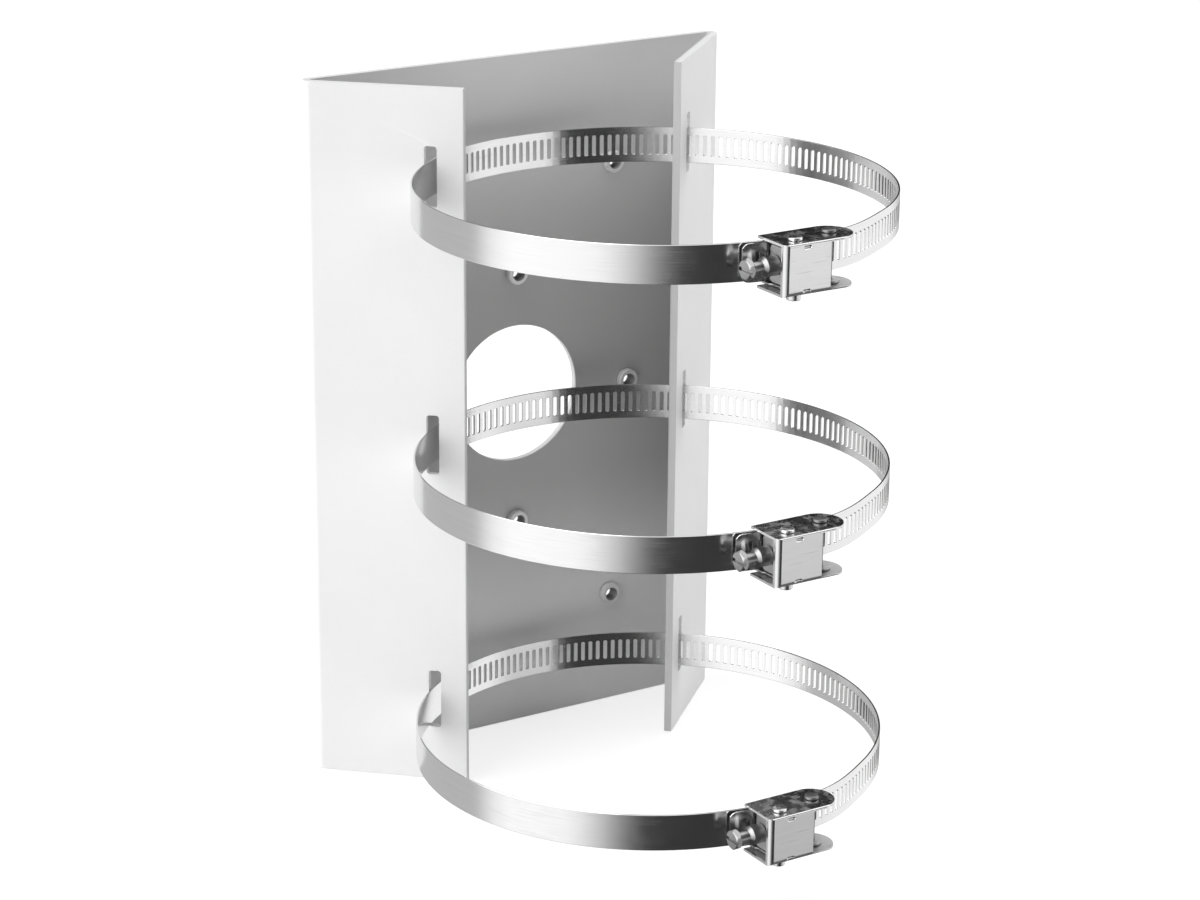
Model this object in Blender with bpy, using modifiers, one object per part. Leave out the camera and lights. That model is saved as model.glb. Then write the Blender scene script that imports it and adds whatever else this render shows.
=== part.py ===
"""Camera pole mount bracket: a folded sheet channel and three quick-release band clamps.

Metres, +Z up. +X is to the right seen from the pole, and +Y points from the pole to the
back plate. The origin is at the middle of the back plate's bottom edge, half way through
the sheet. Each clamp is modelled in its own frame: x along the screw, y from the pole
side's front of the ring towards the ring's centre, z up, with 0 at the front of the band.
"""
import math

import bmesh
import bpy
from mathutils import Matrix, Vector

SEAT_GAP = 0.0003              # left between pieces that touch

# Folded bracket
PLATE_HEIGHT = 0.282
PLATE_WIDTH = 0.1866           # over both folds
SHEET = 0.003
FOLD_INSIDE_RADIUS = 0.001
FLANGE_ANGLE = math.radians(43)    # between a flange and the back plate
FREE_EDGE_OPENING = 0.0972     # between the flanges' outer corners at their free edges
FOLD_STEPS = 3

CABLE_HOLE_RADIUS = 0.0285
CABLE_HOLE_RISE = 0.002        # above the middle of the plate
CABLE_HOLE_SIDES = 24

BAND_SLOT_HEIGHT = 0.024
BAND_SLOT_WIDTH = 0.005
BAND_SLOT_CORNER = 0.0012

# Clinch nuts in the back plate
NUT_RADIUS = 0.0045
NUT_HEIGHT = 0.0025            # standing off the plate's inner face
NUT_SHANK_RADIUS = 0.0036
NUT_BORE_RADIUS = 0.0022
NUT_SIDES = 8
NUT_DIAMOND = 0.0525           # four nuts round the cable hole
NUT_SIDE_INSET = 0.0483        # four nuts near the corners, this far from the sides
NUT_END_INSET = 0.048          # and this far from the ends

# Bands
BAND_RADIUS = 0.090            # to the middle of the band's thickness
BAND_WIDTH = 0.0142
BAND_SHEET = 0.0007
BAND_STANDOFF = 0.0119         # from the plate's inner face to the band
CLAMP_SPACING = 0.1065
CLAMP_NAMES = ("bottom", "middle", "top")
CLAMP_DROPS = (0.0035, 0.0019, 0.0017)    # how low each band hangs in its slots

PERFORATION_PITCH = 0.003175
PERFORATION_LENGTH = 0.0081
PERFORATION_WIDTH = 0.0016
PERFORATIONS = 108
SLOTS_PER_FACET = 4
PLAIN_FACET = math.radians(10)
FIXED_END_ANGLE = math.radians(9.5)    # right of the clamp's middle
TAIL_ANGLE = math.radians(14.5)        # left of the clamp's middle
TAIL_RISE_START = math.radians(32)     # the band climbs over its fixed end
TAIL_RISE_END = math.radians(12.5)

# Saddle, spot-welded on the band's fixed end
SADDLE_SHEET = 0.0008
SADDLE_TOE = 0.0008            # the base's reach past the ears' hooks
SADDLE_CURVE_STEPS = 4
EAR_BELOW = 0.0012             # the ears reach this far past the band's middle
EAR_VALLEY = 0.0042
EAR_HOOK_RISE = 0.0020         # the hook's tip above the latch pin's axis
EAR_HOOK_WIDTH = 0.0022
EAR_CORNER = 0.0008
EAR_STEPS = 5
PIVOT_X = 0.0083
PIVOT_EAR_RADIUS = 0.0042

# Swing housing
HOUSING_SHEET = 0.0009
HOUSING_LEFT = -0.0156
HOUSING_DEPTH = 0.0170         # from the band's middle to the web's outer face
HOUSING_WEB_TO_PIVOT = 0.0047  # the web ends this far before the pivot pin's axis
HOUSING_FOLD_RADIUS = 0.0012
HOUSING_FOLD_STEPS = 2
HOUSING_END_STEPS = 6
BEARING_TAB_INSET = 0.0033     # from the housing's left end
BEARING_TAB_HALF_WIDTH = 0.0066

# Pins
PIN_RADIUS = 0.0015
PIN_HEAD_RADIUS = 0.0026
PIN_HEAD_HEIGHT = 0.0012
PIN_SIDES = 8
LATCH_INSET = 0.0076           # from the housing's left end
LATCH_OUT = 0.0115
LATCH_FOOT = 0.0022            # the latch pin's lower head is longer

# Worm screw
WORM_RADIUS = 0.0042
SCREW_NECK_RADIUS = 0.0022
SCREW_COLLAR_RADIUS = 0.0036
SCREW_COLLAR_LENGTH = 0.0060
SCREW_SHANK_RADIUS = 0.0024
SCREW_SHANK_LENGTH = 0.0048
SCREW_HEAD_ACROSS = 0.0070
SCREW_HEAD_LENGTH = 0.0024
DRIVER_SLOT_WIDTH = 0.0014
DRIVER_SLOT_DEPTH = 0.0014
SCREW_SHOULDER_RADIUS = 0.0032
SCREW_SHOULDER_LENGTH = 0.0011
SCREW_SIDES = 8

MERGE = 0.00001

# Places that follow from the sizes above
PLATE_INNER_Y = -SHEET / 2
FOLD_OUTSIDE_RADIUS = FOLD_INSIDE_RADIUS + SHEET
FOLD_MIDDLE_RADIUS = FOLD_INSIDE_RADIUS + SHEET / 2
FOLD_CENTRE = Vector((PLATE_WIDTH / 2 - FOLD_OUTSIDE_RADIUS, SHEET / 2 - FOLD_OUTSIDE_RADIUS))
FLANGE_OUTWARD = Vector((math.sin(FLANGE_ANGLE), -math.cos(FLANGE_ANGLE)))
FLANGE_INWARD = Vector((-math.cos(FLANGE_ANGLE), -math.sin(FLANGE_ANGLE)))
FLANGE_START = FOLD_CENTRE + FOLD_MIDDLE_RADIUS * FLANGE_OUTWARD
FLANGE_LENGTH = ((FOLD_CENTRE + FOLD_OUTSIDE_RADIUS * FLANGE_OUTWARD).x
                 - FREE_EDGE_OPENING / 2) / math.cos(FLANGE_ANGLE)
FLANGE_END = FLANGE_START + FLANGE_LENGTH * FLANGE_INWARD

RING_CENTRE_Y = PLATE_INNER_Y - BAND_STANDOFF - BAND_RADIUS
RING_FRONT_Y = RING_CENTRE_Y - BAND_RADIUS
SLOT_HEIGHTS = [PLATE_HEIGHT / 2 + step * CLAMP_SPACING for step in (-1, 0, 1)]
CLAMP_HEIGHTS = [slot - drop for slot, drop in zip(SLOT_HEIGHTS, CLAMP_DROPS)]

SADDLE_BASE_INNER = BAND_RADIUS + BAND_SHEET / 2 + SEAT_GAP
SADDLE_BASE_OUTER = SADDLE_BASE_INNER + SADDLE_SHEET
TAIL_RADIUS = SADDLE_BASE_OUTER + SEAT_GAP + BAND_SHEET / 2
TAIL_OUTER = TAIL_RADIUS + BAND_SHEET / 2
EAR_INNER = BAND_WIDTH / 2 + SEAT_GAP
EAR_OUTER = EAR_INNER + SADDLE_SHEET
HOUSING_INNER = EAR_OUTER + SEAT_GAP
HOUSING_OUTER = HOUSING_INNER + HOUSING_SHEET
PIVOT_OUT = HOUSING_DEPTH / 2
LATCH_X = HOUSING_LEFT + LATCH_INSET
HOOK_RIGHT = LATCH_X - PIN_RADIUS - SEAT_GAP
HOOK_LEFT = HOOK_RIGHT - EAR_HOOK_WIDTH
SADDLE_LEFT = HOOK_LEFT - SADDLE_TOE
SADDLE_RIGHT = PIVOT_X + PIVOT_EAR_RADIUS
BEARING_TAB_X = HOUSING_LEFT + BEARING_TAB_INSET
SCREW_OUT = TAIL_OUTER - BAND_RADIUS + SEAT_GAP + WORM_RADIUS
SHOULDER_LEFT = BEARING_TAB_X + HOUSING_SHEET + SEAT_GAP
SHOULDER_RIGHT = SHOULDER_LEFT + SCREW_SHOULDER_LENGTH
WORM_LEFT = LATCH_X + PIN_RADIUS + 2 * SEAT_GAP
WORM_RIGHT = PIVOT_X - PIN_RADIUS - 2 * SEAT_GAP
COLLAR_RIGHT = BEARING_TAB_X - SEAT_GAP
COLLAR_LEFT = COLLAR_RIGHT - SCREW_COLLAR_LENGTH
HEAD_RIGHT = COLLAR_LEFT - SCREW_SHANK_LENGTH
NUT_GRID_X = PLATE_WIDTH / 2 - NUT_SIDE_INSET
NUT_GRID_Z = PLATE_HEIGHT / 2 - NUT_END_INSET
FAR = 0.05                     # past every face of a clamp, for cutters


def clear_scene():
    for old in list(bpy.data.objects):
        bpy.data.objects.remove(old, do_unlink=True)


def make_collection(name):
    collection = bpy.data.collections.new(name)
    bpy.context.scene.collection.children.link(collection)
    return collection


def make_material(name, colour, metallic, roughness):
    material = bpy.data.materials.new(name)
    material.use_nodes = True
    shader = material.node_tree.nodes["Principled BSDF"]
    shader.inputs["Base Color"].default_value = (*colour, 1.0)
    shader.inputs["Metallic"].default_value = metallic
    shader.inputs["Roughness"].default_value = roughness
    return material


def mesh_object(name, bm, collection):
    """Make an object of a bmesh and free the bmesh."""
    bmesh.ops.recalc_face_normals(bm, faces=bm.faces)
    mesh = bpy.data.meshes.new(name)
    bm.to_mesh(mesh)
    bm.free()
    made = bpy.data.objects.new(name, mesh)
    collection.objects.link(made)
    return made


def cutter_object(name, bm):
    made = mesh_object(name, bm, CUTTERS)
    made.hide_render = True
    made.display_type = "WIRE"
    return made


def arc(centre_x, centre_y, radius, start, end, steps):
    """Points on an arc, both ends included, with angles in degrees."""
    angles = [math.radians(start + (end - start) * step / steps) for step in range(steps + 1)]
    return [(centre_x + radius * math.cos(a), centre_y + radius * math.sin(a)) for a in angles]


def prism_bmesh(outline, low, high):
    """Extrude an outline in x and y from one height to another."""
    bm = bmesh.new()
    face = bm.faces.new([bm.verts.new((x, y, low)) for x, y in outline])
    top = bmesh.ops.extrude_face_region(bm, geom=[face])
    raised = [item for item in top["geom"] if isinstance(item, bmesh.types.BMVert)]
    bmesh.ops.translate(bm, verts=raised, vec=(0, 0, high - low))
    return bm


def add_cylinder(bm, start, end, radius, sides):
    """Add a cylinder between two points."""
    start, end = Vector(start), Vector(end)
    along = end - start
    turn = along.to_track_quat("Z", "Y").to_matrix().to_4x4()
    bmesh.ops.create_cone(bm, cap_ends=True, segments=sides, radius1=radius, radius2=radius,
                          depth=along.length, matrix=Matrix.Translation((start + end) / 2) @ turn)


def box_bmesh(low, high):
    """A box between two corners."""
    low, high = Vector(low), Vector(high)
    bm = bmesh.new()
    matrix = Matrix.Translation((low + high) / 2) @ Matrix.Diagonal((*(high - low), 1))
    bmesh.ops.create_cube(bm, size=1, matrix=matrix)
    return bm


def cylinder_bmesh(start, end, radius, sides):
    bm = bmesh.new()
    add_cylinder(bm, start, end, radius, sides)
    return bm


def combine(piece, other, operation):
    modifier = piece.modifiers.new(other.name, "BOOLEAN")
    modifier.operation = operation
    modifier.solver = "EXACT"
    modifier.object = other


def turned_object(name, profile, axis, sides, collection):
    """Turn a profile of (radius, height) about Z, then lay its axis along the one given."""
    bm = bmesh.new()
    corners = [bm.verts.new((radius, 0, height)) for radius, height in profile]
    for first, second in zip(corners, corners[1:]):
        bm.edges.new((first, second))
    if profile[0][0] > 0:
        bm.edges.new((corners[-1], corners[0]))
    mesh = bpy.data.meshes.new(name)
    bm.to_mesh(mesh)
    bm.free()
    made = bpy.data.objects.new(name, mesh)
    collection.objects.link(made)
    screw = made.modifiers.new("turn", "SCREW")
    screw.steps = sides
    screw.render_steps = sides
    screw.use_merge_vertices = True
    screw.merge_threshold = MERGE
    screw.use_normal_calculate = True
    made.rotation_euler = Vector(axis).to_track_quat("Z", "Y").to_euler()
    return made


def baked_mesh(piece, origin=(0, 0, 0)):
    """The piece's mesh with its modifiers and place in it, moved so that origin is at 0."""
    bpy.context.view_layer.update()
    shape = bpy.data.meshes.new_from_object(piece.evaluated_get(bpy.context.evaluated_depsgraph_get()))
    shape.transform(Matrix.Translation(-Vector(origin)) @ piece.matrix_world)
    shape.name = piece.name
    bm = bmesh.new()
    bm.from_mesh(shape)
    bmesh.ops.recalc_face_normals(bm, faces=bm.faces)
    bm.to_mesh(shape)
    bm.free()
    bpy.data.objects.remove(piece, do_unlink=True)
    return shape


def finish_mesh(shape, material, sharp_angle=math.radians(35)):
    shape.materials.clear()
    shape.materials.append(material)
    shape.shade_smooth()
    shape.set_sharp_from_angle(angle=sharp_angle)
    return shape


def place(name, shape, location, parent=None):
    made = bpy.data.objects.new(name, shape)
    PARTS.objects.link(made)
    made.location = location
    made.parent = parent
    return made


def band_slot_place():
    """How far along the flange a band crosses it, and where the slot's middle then is."""
    centre = Vector((0, RING_CENTRE_Y))
    offset = FLANGE_START - centre
    half_sum = offset.dot(FLANGE_INWARD)
    crossing = -half_sum - math.sqrt(half_sum ** 2 - offset.length_squared + BAND_RADIUS ** 2)
    radial = (offset + crossing * FLANGE_INWARD) / BAND_RADIUS
    lean = abs(radial.dot(FLANGE_OUTWARD)) * SHEET / 2
    return crossing + BAND_SLOT_WIDTH / 2 - BAND_SHEET / 2 - SEAT_GAP - lean


def bracket_outline():
    """The middle of the sheet, right half, from the plate's middle to the free edge."""
    sweep = math.degrees(FLANGE_ANGLE)
    fold = arc(FOLD_CENTRE.x, FOLD_CENTRE.y, FOLD_MIDDLE_RADIUS, 90, sweep - 90, FOLD_STEPS)
    return [(0, 0), *fold, tuple(FLANGE_END)]


def nut_places():
    middle = PLATE_HEIGHT / 2
    around = [(NUT_DIAMOND, 0), (-NUT_DIAMOND, 0), (0, NUT_DIAMOND), (0, -NUT_DIAMOND)]
    corners = [(x, z) for x in (-NUT_GRID_X, NUT_GRID_X) for z in (-NUT_GRID_Z, NUT_GRID_Z)]
    return [(x, middle + z) for x, z in around + corners]


def slot_cutter():
    """Six rounded slots, square to the flanges."""
    half_height = BAND_SLOT_HEIGHT / 2 - BAND_SLOT_CORNER
    half_width = BAND_SLOT_WIDTH / 2 - BAND_SLOT_CORNER
    outline = []
    for quarter, (side, rise) in enumerate(((1, 1), (-1, 1), (-1, -1), (1, -1))):
        outline += arc(side * half_width, rise * half_height, BAND_SLOT_CORNER,
                       90 * quarter, 90 * quarter + 90, 1)
    whole = bmesh.new()
    for side in (1, -1):
        along = Vector((side * FLANGE_INWARD.x, FLANGE_INWARD.y, 0))
        out = Vector((side * FLANGE_OUTWARD.x, FLANGE_OUTWARD.y, 0))
        middle = FLANGE_START + band_slot_place() * FLANGE_INWARD
        for height in SLOT_HEIGHTS:
            turn = Matrix((along, Vector((0, 0, 1)), out)).transposed().to_4x4()
            turn.translation = (side * middle.x, middle.y, height)
            one = prism_bmesh(outline, -2 * SHEET, 2 * SHEET)
            one.transform(turn)
            shape = bpy.data.meshes.new("slot")
            one.to_mesh(shape)
            one.free()
            whole.from_mesh(shape)
            bpy.data.meshes.remove(shape)
    return cutter_object("flange_slots", whole)


def hole_cutter():
    """The cable hole and the nuts' holes, through the back plate."""
    bm = bmesh.new()
    middle = PLATE_HEIGHT / 2 + CABLE_HOLE_RISE
    add_cylinder(bm, (0, -2 * SHEET, middle), (0, 2 * SHEET, middle), CABLE_HOLE_RADIUS,
                 CABLE_HOLE_SIDES)
    for x, z in nut_places():
        add_cylinder(bm, (x, -2 * SHEET, z), (x, 2 * SHEET, z), NUT_SHANK_RADIUS + SEAT_GAP,
                     NUT_SIDES)
    return cutter_object("plate_holes", bm)


def make_bracket():
    """A back plate with a flange folded in along each side, cut from one sheet."""
    half = bracket_outline()
    outline = [(-x, y) for x, y in reversed(half[1:])] + half[1:]
    bm = bmesh.new()
    low = [bm.verts.new((x, y, 0)) for x, y in outline]
    edges = [bm.edges.new(pair) for pair in zip(low, low[1:])]
    grown = bmesh.ops.extrude_edge_only(bm, edges=edges)
    raised = [item for item in grown["geom"] if isinstance(item, bmesh.types.BMVert)]
    bmesh.ops.translate(bm, verts=raised, vec=(0, 0, PLATE_HEIGHT))
    bracket = mesh_object("bracket", bm, PARTS)
    solidify = bracket.modifiers.new("sheet", "SOLIDIFY")
    solidify.thickness = SHEET
    solidify.offset = 0
    solidify.use_even_offset = True
    combine(bracket, slot_cutter(), "DIFFERENCE")
    combine(bracket, hole_cutter(), "DIFFERENCE")
    finish_mesh(bracket.data, MATERIALS["bracket_paint"])
    return bracket


def make_nuts():
    """Clinch nuts: a collar on the plate's inner face and a shank in the plate's hole."""
    face = PLATE_INNER_Y - SEAT_GAP
    shank_end = SHEET / 2 - SEAT_GAP
    profile = [(NUT_BORE_RADIUS, shank_end), (NUT_SHANK_RADIUS, shank_end),
               (NUT_SHANK_RADIUS, face), (NUT_RADIUS, face),
               (NUT_RADIUS, face - NUT_HEIGHT), (NUT_BORE_RADIUS, face - NUT_HEIGHT)]
    piece = turned_object("clinch_nut", profile, (0, 1, 0), NUT_SIDES, CUTTERS)
    shape = finish_mesh(baked_mesh(piece), MATERIALS["nut_steel"])
    for number, (x, z) in enumerate(nut_places(), 1):
        place(f"clinch_nut_{number}", shape, (x, 0, z))


def band_radius_at(angle):
    """The band's radius at an angle counted leftwards from the clamp, up to a full turn."""
    start = 2 * math.pi - TAIL_RISE_START
    end = 2 * math.pi - TAIL_RISE_END
    share = min(max((angle - start) / (end - start), 0), 1)
    return BAND_RADIUS + (TAIL_RADIUS - BAND_RADIUS) * share * share * (3 - 2 * share)


def band_point(angle):
    radius = band_radius_at(angle)
    return Vector((-radius * math.sin(angle), BAND_RADIUS - radius * math.cos(angle), 0))


def band_angles():
    """Where the band's flat facets meet: its plain stretch, and then its perforated one."""
    end = 2 * math.pi + TAIL_ANGLE
    step = SLOTS_PER_FACET * PERFORATION_PITCH / BAND_RADIUS
    facets = PERFORATIONS // SLOTS_PER_FACET
    first = end - facets * step - PERFORATION_PITCH / BAND_RADIUS
    plain_count = math.ceil((first + FIXED_END_ANGLE) / PLAIN_FACET)
    plain_step = (first + FIXED_END_ANGLE) / plain_count
    plain = [plain_step * number - FIXED_END_ANGLE for number in range(plain_count)]
    slotted = [first + step * number for number in range(facets + 1)]
    return plain, slotted, end


def add_column(bm, angle, heights):
    point = band_point(angle)
    return [bm.verts.new((point.x, point.y, height)) for height in heights]


def add_slotted_facet(bm, left, right):
    """One flat facet of the band with its slots; each column stands where a slot starts."""
    slot_share = PERFORATION_WIDTH / PERFORATION_PITCH
    shares = [(number + end) / SLOTS_PER_FACET
              for number in range(SLOTS_PER_FACET) for end in (0, slot_share)][1:]
    low_line, high_line = ([left[row]] + [bm.verts.new(left[row].co.lerp(right[row].co, share))
                                          for share in shares] + [right[row]] for row in (1, 2))
    bm.faces.new([left[0], right[0], *reversed(low_line)])
    bm.faces.new([*high_line, right[3], left[3]])
    for number in range(1, len(low_line), 2):
        bm.faces.new([low_line[number], low_line[number + 1],
                      high_line[number + 1], high_line[number]])


def make_band_mesh():
    """One strip: welded under the saddle, round the pole, and out under the worm."""
    plain, slotted, end = band_angles()
    edges = (-BAND_WIDTH / 2, BAND_WIDTH / 2)
    rows = (edges[0], -PERFORATION_LENGTH / 2, PERFORATION_LENGTH / 2, edges[1])
    bm = bmesh.new()
    slotted_columns = [add_column(bm, angle, rows) for angle in slotted]
    plain_columns = [add_column(bm, angle, edges) for angle in plain] + [slotted_columns[0]]
    for left, right in zip(plain_columns, plain_columns[1:]):
        bm.faces.new([left[0], *right, left[1]])
    for left, right in zip(slotted_columns, slotted_columns[1:]):
        add_slotted_facet(bm, left, right)
    tip = add_column(bm, end, edges)
    bm.faces.new([*reversed(slotted_columns[-1]), *tip])
    band = mesh_object("band", bm, CUTTERS)
    solidify = band.modifiers.new("strip", "SOLIDIFY")
    solidify.thickness = BAND_SHEET
    solidify.offset = 0
    solidify.use_even_offset = True
    return finish_mesh(baked_mesh(band), MATERIALS["band_steel"])


def radial_point(angle, radius, height=0):
    """A point of a clamp's frame, at an angle to the right of its middle."""
    return Vector((radius * math.sin(angle), BAND_RADIUS - radius * math.cos(angle), height))


def ear_outline():
    """The saddle's side: a round ear for the pivot pin and a hooked seat for the latch."""
    seat = LATCH_OUT - PIN_RADIUS - SEAT_GAP
    seat_right = LATCH_X + PIN_RADIUS + EAR_HOOK_WIDTH
    top = LATCH_OUT + EAR_HOOK_RISE
    lobe = arc(PIVOT_X, PIVOT_OUT, PIVOT_EAR_RADIUS, 0, 180, EAR_STEPS)
    outline = [(SADDLE_LEFT, -EAR_BELOW), (SADDLE_RIGHT, -EAR_BELOW), *lobe,
               (PIVOT_X - PIVOT_EAR_RADIUS, EAR_VALLEY + EAR_CORNER),
               (PIVOT_X - PIVOT_EAR_RADIUS - EAR_CORNER, EAR_VALLEY),
               (seat_right, EAR_VALLEY), (seat_right, seat - EAR_CORNER),
               (seat_right - EAR_CORNER, seat), (HOOK_RIGHT, seat), (HOOK_RIGHT, top),
               (HOOK_LEFT + EAR_CORNER, top), (HOOK_LEFT, top - EAR_CORNER),
               (HOOK_LEFT, EAR_VALLEY), (SADDLE_LEFT, EAR_VALLEY - EAR_CORNER)]
    return [(x, -out) for x, out in outline]


def arc_wall(radius, depth):
    """Outline between an arc of the ring and a line at a depth beyond it."""
    reach = max(SADDLE_RIGHT, -SADDLE_LEFT) + SADDLE_SHEET
    half_angle = math.asin(reach / radius)
    angles = [half_angle * (2 * step / SADDLE_CURVE_STEPS - 1)
              for step in range(SADDLE_CURVE_STEPS + 1)]
    points = [radial_point(angle, radius) for angle in angles]
    return [(p.x, p.y) for p in points] + [(points[-1].x, depth), (points[0].x, depth)]


def make_saddle_mesh():
    """A folded U: a curved base between the band's layers and an ear on each side."""
    saddle = mesh_object("saddle", prism_bmesh(ear_outline(), -EAR_OUTER, EAR_OUTER), CUTTERS)
    above = prism_bmesh(arc_wall(SADDLE_BASE_OUTER, -FAR), -EAR_INNER, EAR_INNER)
    combine(saddle, cutter_object("saddle_inside", above), "DIFFERENCE")
    below = prism_bmesh(arc_wall(SADDLE_BASE_INNER, FAR), -EAR_INNER, EAR_INNER)
    combine(saddle, cutter_object("saddle_underside", below), "DIFFERENCE")
    bore = cylinder_bmesh((PIVOT_X, -PIVOT_OUT, -FAR), (PIVOT_X, -PIVOT_OUT, FAR),
                          PIN_RADIUS + SEAT_GAP, PIN_SIDES)
    combine(saddle, cutter_object("saddle_pivot_bore", bore), "DIFFERENCE")
    return finish_mesh(baked_mesh(saddle), MATERIALS["saddle_steel"])


def housing_outline():
    """A plate seen along the pole: square at the screw's head, round about the pivot."""
    end = arc(PIVOT_X, PIVOT_OUT, PIVOT_OUT, -90, 90, HOUSING_END_STEPS)
    outline = [(HOUSING_LEFT, 0), *end, (HOUSING_LEFT, HOUSING_DEPTH)]
    return [(x, -out) for x, out in outline]


def round_front_folds(bm):
    """Round the two long edges where the web folds into the plates."""
    front = [edge for edge in bm.edges
             if all(abs(vert.co.y + HOUSING_DEPTH) < MERGE for vert in edge.verts)
             and abs(edge.verts[0].co.z - edge.verts[1].co.z) < MERGE]
    bmesh.ops.bevel(bm, geom=front, offset=HOUSING_FOLD_RADIUS, segments=HOUSING_FOLD_STEPS,
                    profile=0.5, affect="EDGES")


def make_housing_mesh():
    """A folded channel with two tongues to the pivot and a lanced tab that carries the screw."""
    body = prism_bmesh(housing_outline(), -HOUSING_OUTER, HOUSING_OUTER)
    round_front_folds(body)
    housing = mesh_object("housing", body, CUTTERS)
    web_inside = -HOUSING_DEPTH + HOUSING_SHEET
    inside = box_bmesh((-FAR, web_inside, -HOUSING_INNER), (FAR, FAR, HOUSING_INNER))
    combine(housing, cutter_object("housing_inside", inside), "DIFFERENCE")
    web_right = PIVOT_X - HOUSING_WEB_TO_PIVOT
    open_end = box_bmesh((web_right, -FAR, -HOUSING_INNER), (FAR, 0, HOUSING_INNER))
    combine(housing, cutter_object("housing_open_end", open_end), "DIFFERENCE")
    tab_low = TAIL_OUTER - BAND_RADIUS + 2 * SEAT_GAP
    tab = box_bmesh((BEARING_TAB_X, web_inside - HOUSING_SHEET / 2, -BEARING_TAB_HALF_WIDTH),
                    (BEARING_TAB_X + HOUSING_SHEET, -tab_low, BEARING_TAB_HALF_WIDTH))
    combine(housing, cutter_object("bearing_tab", tab), "UNION")
    bores = cylinder_bmesh((-FAR, -SCREW_OUT, 0), (SHOULDER_LEFT, -SCREW_OUT, 0),
                           SCREW_NECK_RADIUS + SEAT_GAP, SCREW_SIDES)
    for x, out in ((PIVOT_X, PIVOT_OUT), (LATCH_X, LATCH_OUT)):
        add_cylinder(bores, (x, -out, -FAR), (x, -out, FAR), PIN_RADIUS + SEAT_GAP, PIN_SIDES)
    combine(housing, cutter_object("housing_bores", bores), "DIFFERENCE")
    origin = (PIVOT_X, -PIVOT_OUT, 0)
    return finish_mesh(baked_mesh(housing, origin), MATERIALS["housing_steel"])


def make_pin_mesh(name, foot_height, material):
    """A pin with a head on each plate of the housing, its axis along Z."""
    seat = HOUSING_OUTER + SEAT_GAP
    profile = [(0, seat + PIN_HEAD_HEIGHT), (PIN_HEAD_RADIUS, seat + PIN_HEAD_HEIGHT),
               (PIN_HEAD_RADIUS, seat),
               (PIN_RADIUS, seat), (PIN_RADIUS, -seat), (PIN_HEAD_RADIUS, -seat),
               (PIN_HEAD_RADIUS, -seat - foot_height), (0, -seat - foot_height)]
    piece = turned_object(name, profile, (0, 0, 1), PIN_SIDES, CUTTERS)
    return finish_mesh(baked_mesh(piece), material)


def screw_profile():
    """The screw from its worm's end to inside its head, as (radius, distance along x)."""
    return [(0, WORM_RIGHT), (WORM_RADIUS, WORM_RIGHT),
            (WORM_RADIUS, WORM_LEFT), (SCREW_NECK_RADIUS, WORM_LEFT),
            (SCREW_NECK_RADIUS, SHOULDER_RIGHT), (SCREW_SHOULDER_RADIUS, SHOULDER_RIGHT),
            (SCREW_SHOULDER_RADIUS, SHOULDER_LEFT), (SCREW_NECK_RADIUS, SHOULDER_LEFT),
            (SCREW_NECK_RADIUS, COLLAR_RIGHT), (SCREW_COLLAR_RADIUS, COLLAR_RIGHT),
            (SCREW_COLLAR_RADIUS, COLLAR_LEFT), (SCREW_SHANK_RADIUS, COLLAR_LEFT),
            (SCREW_SHANK_RADIUS, HEAD_RIGHT - SCREW_HEAD_LENGTH / 4),
            (0, HEAD_RIGHT - SCREW_HEAD_LENGTH / 4)]


def make_screw_mesh():
    """A slotted hexagon head, collar, neck and worm on one axis along x, at 0."""
    screw = turned_object("screw", screw_profile(), (1, 0, 0), SCREW_SIDES, CUTTERS)
    head_left = HEAD_RIGHT - SCREW_HEAD_LENGTH
    corner_radius = SCREW_HEAD_ACROSS / math.sqrt(3)
    head = cylinder_bmesh((head_left, 0, 0), (HEAD_RIGHT, 0, 0), corner_radius, 6)
    combine(screw, cutter_object("screw_head", head), "UNION")
    slot = box_bmesh((head_left - FAR, -SCREW_HEAD_ACROSS, -DRIVER_SLOT_WIDTH / 2),
                     (head_left + DRIVER_SLOT_DEPTH, SCREW_HEAD_ACROSS, DRIVER_SLOT_WIDTH / 2))
    combine(screw, cutter_object("driver_slot", slot), "DIFFERENCE")
    return finish_mesh(baked_mesh(screw), MATERIALS["screw_steel"])


def make_empty(name, location, parent=None):
    made = bpy.data.objects.new(name, None)
    PARTS.objects.link(made)
    made.location = location
    made.parent = parent
    return made


def make_clamps():
    """Three like clamps; the housing and its latch pin swing, and the screw turns in them."""
    band = make_band_mesh()
    saddle = make_saddle_mesh()
    housing = make_housing_mesh()
    pivot_pin = make_pin_mesh("pivot_pin", PIN_HEAD_HEIGHT, MATERIALS["pin_steel"])
    latch_pin = make_pin_mesh("latch_pin", LATCH_FOOT, MATERIALS["pin_steel"])
    screw = make_screw_mesh()
    pivot = Vector((PIVOT_X, -PIVOT_OUT, 0))
    for name, height in zip(CLAMP_NAMES, CLAMP_HEIGHTS):
        clamp = make_empty(f"{name}_clamp", (0, RING_FRONT_Y, height))
        place(f"{name}_band", band, (0, 0, 0), clamp)
        place(f"{name}_saddle", saddle, (0, 0, 0), clamp)
        place(f"{name}_pivot_pin", pivot_pin, pivot, clamp)
        swing = make_empty(f"{name}_swing", pivot, clamp)
        place(f"{name}_housing", housing, (0, 0, 0), swing)
        place(f"{name}_latch_pin", latch_pin, Vector((LATCH_X, -LATCH_OUT, 0)) - pivot, swing)
        place(f"{name}_screw", screw, Vector((0, -SCREW_OUT, 0)) - pivot, swing)


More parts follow.
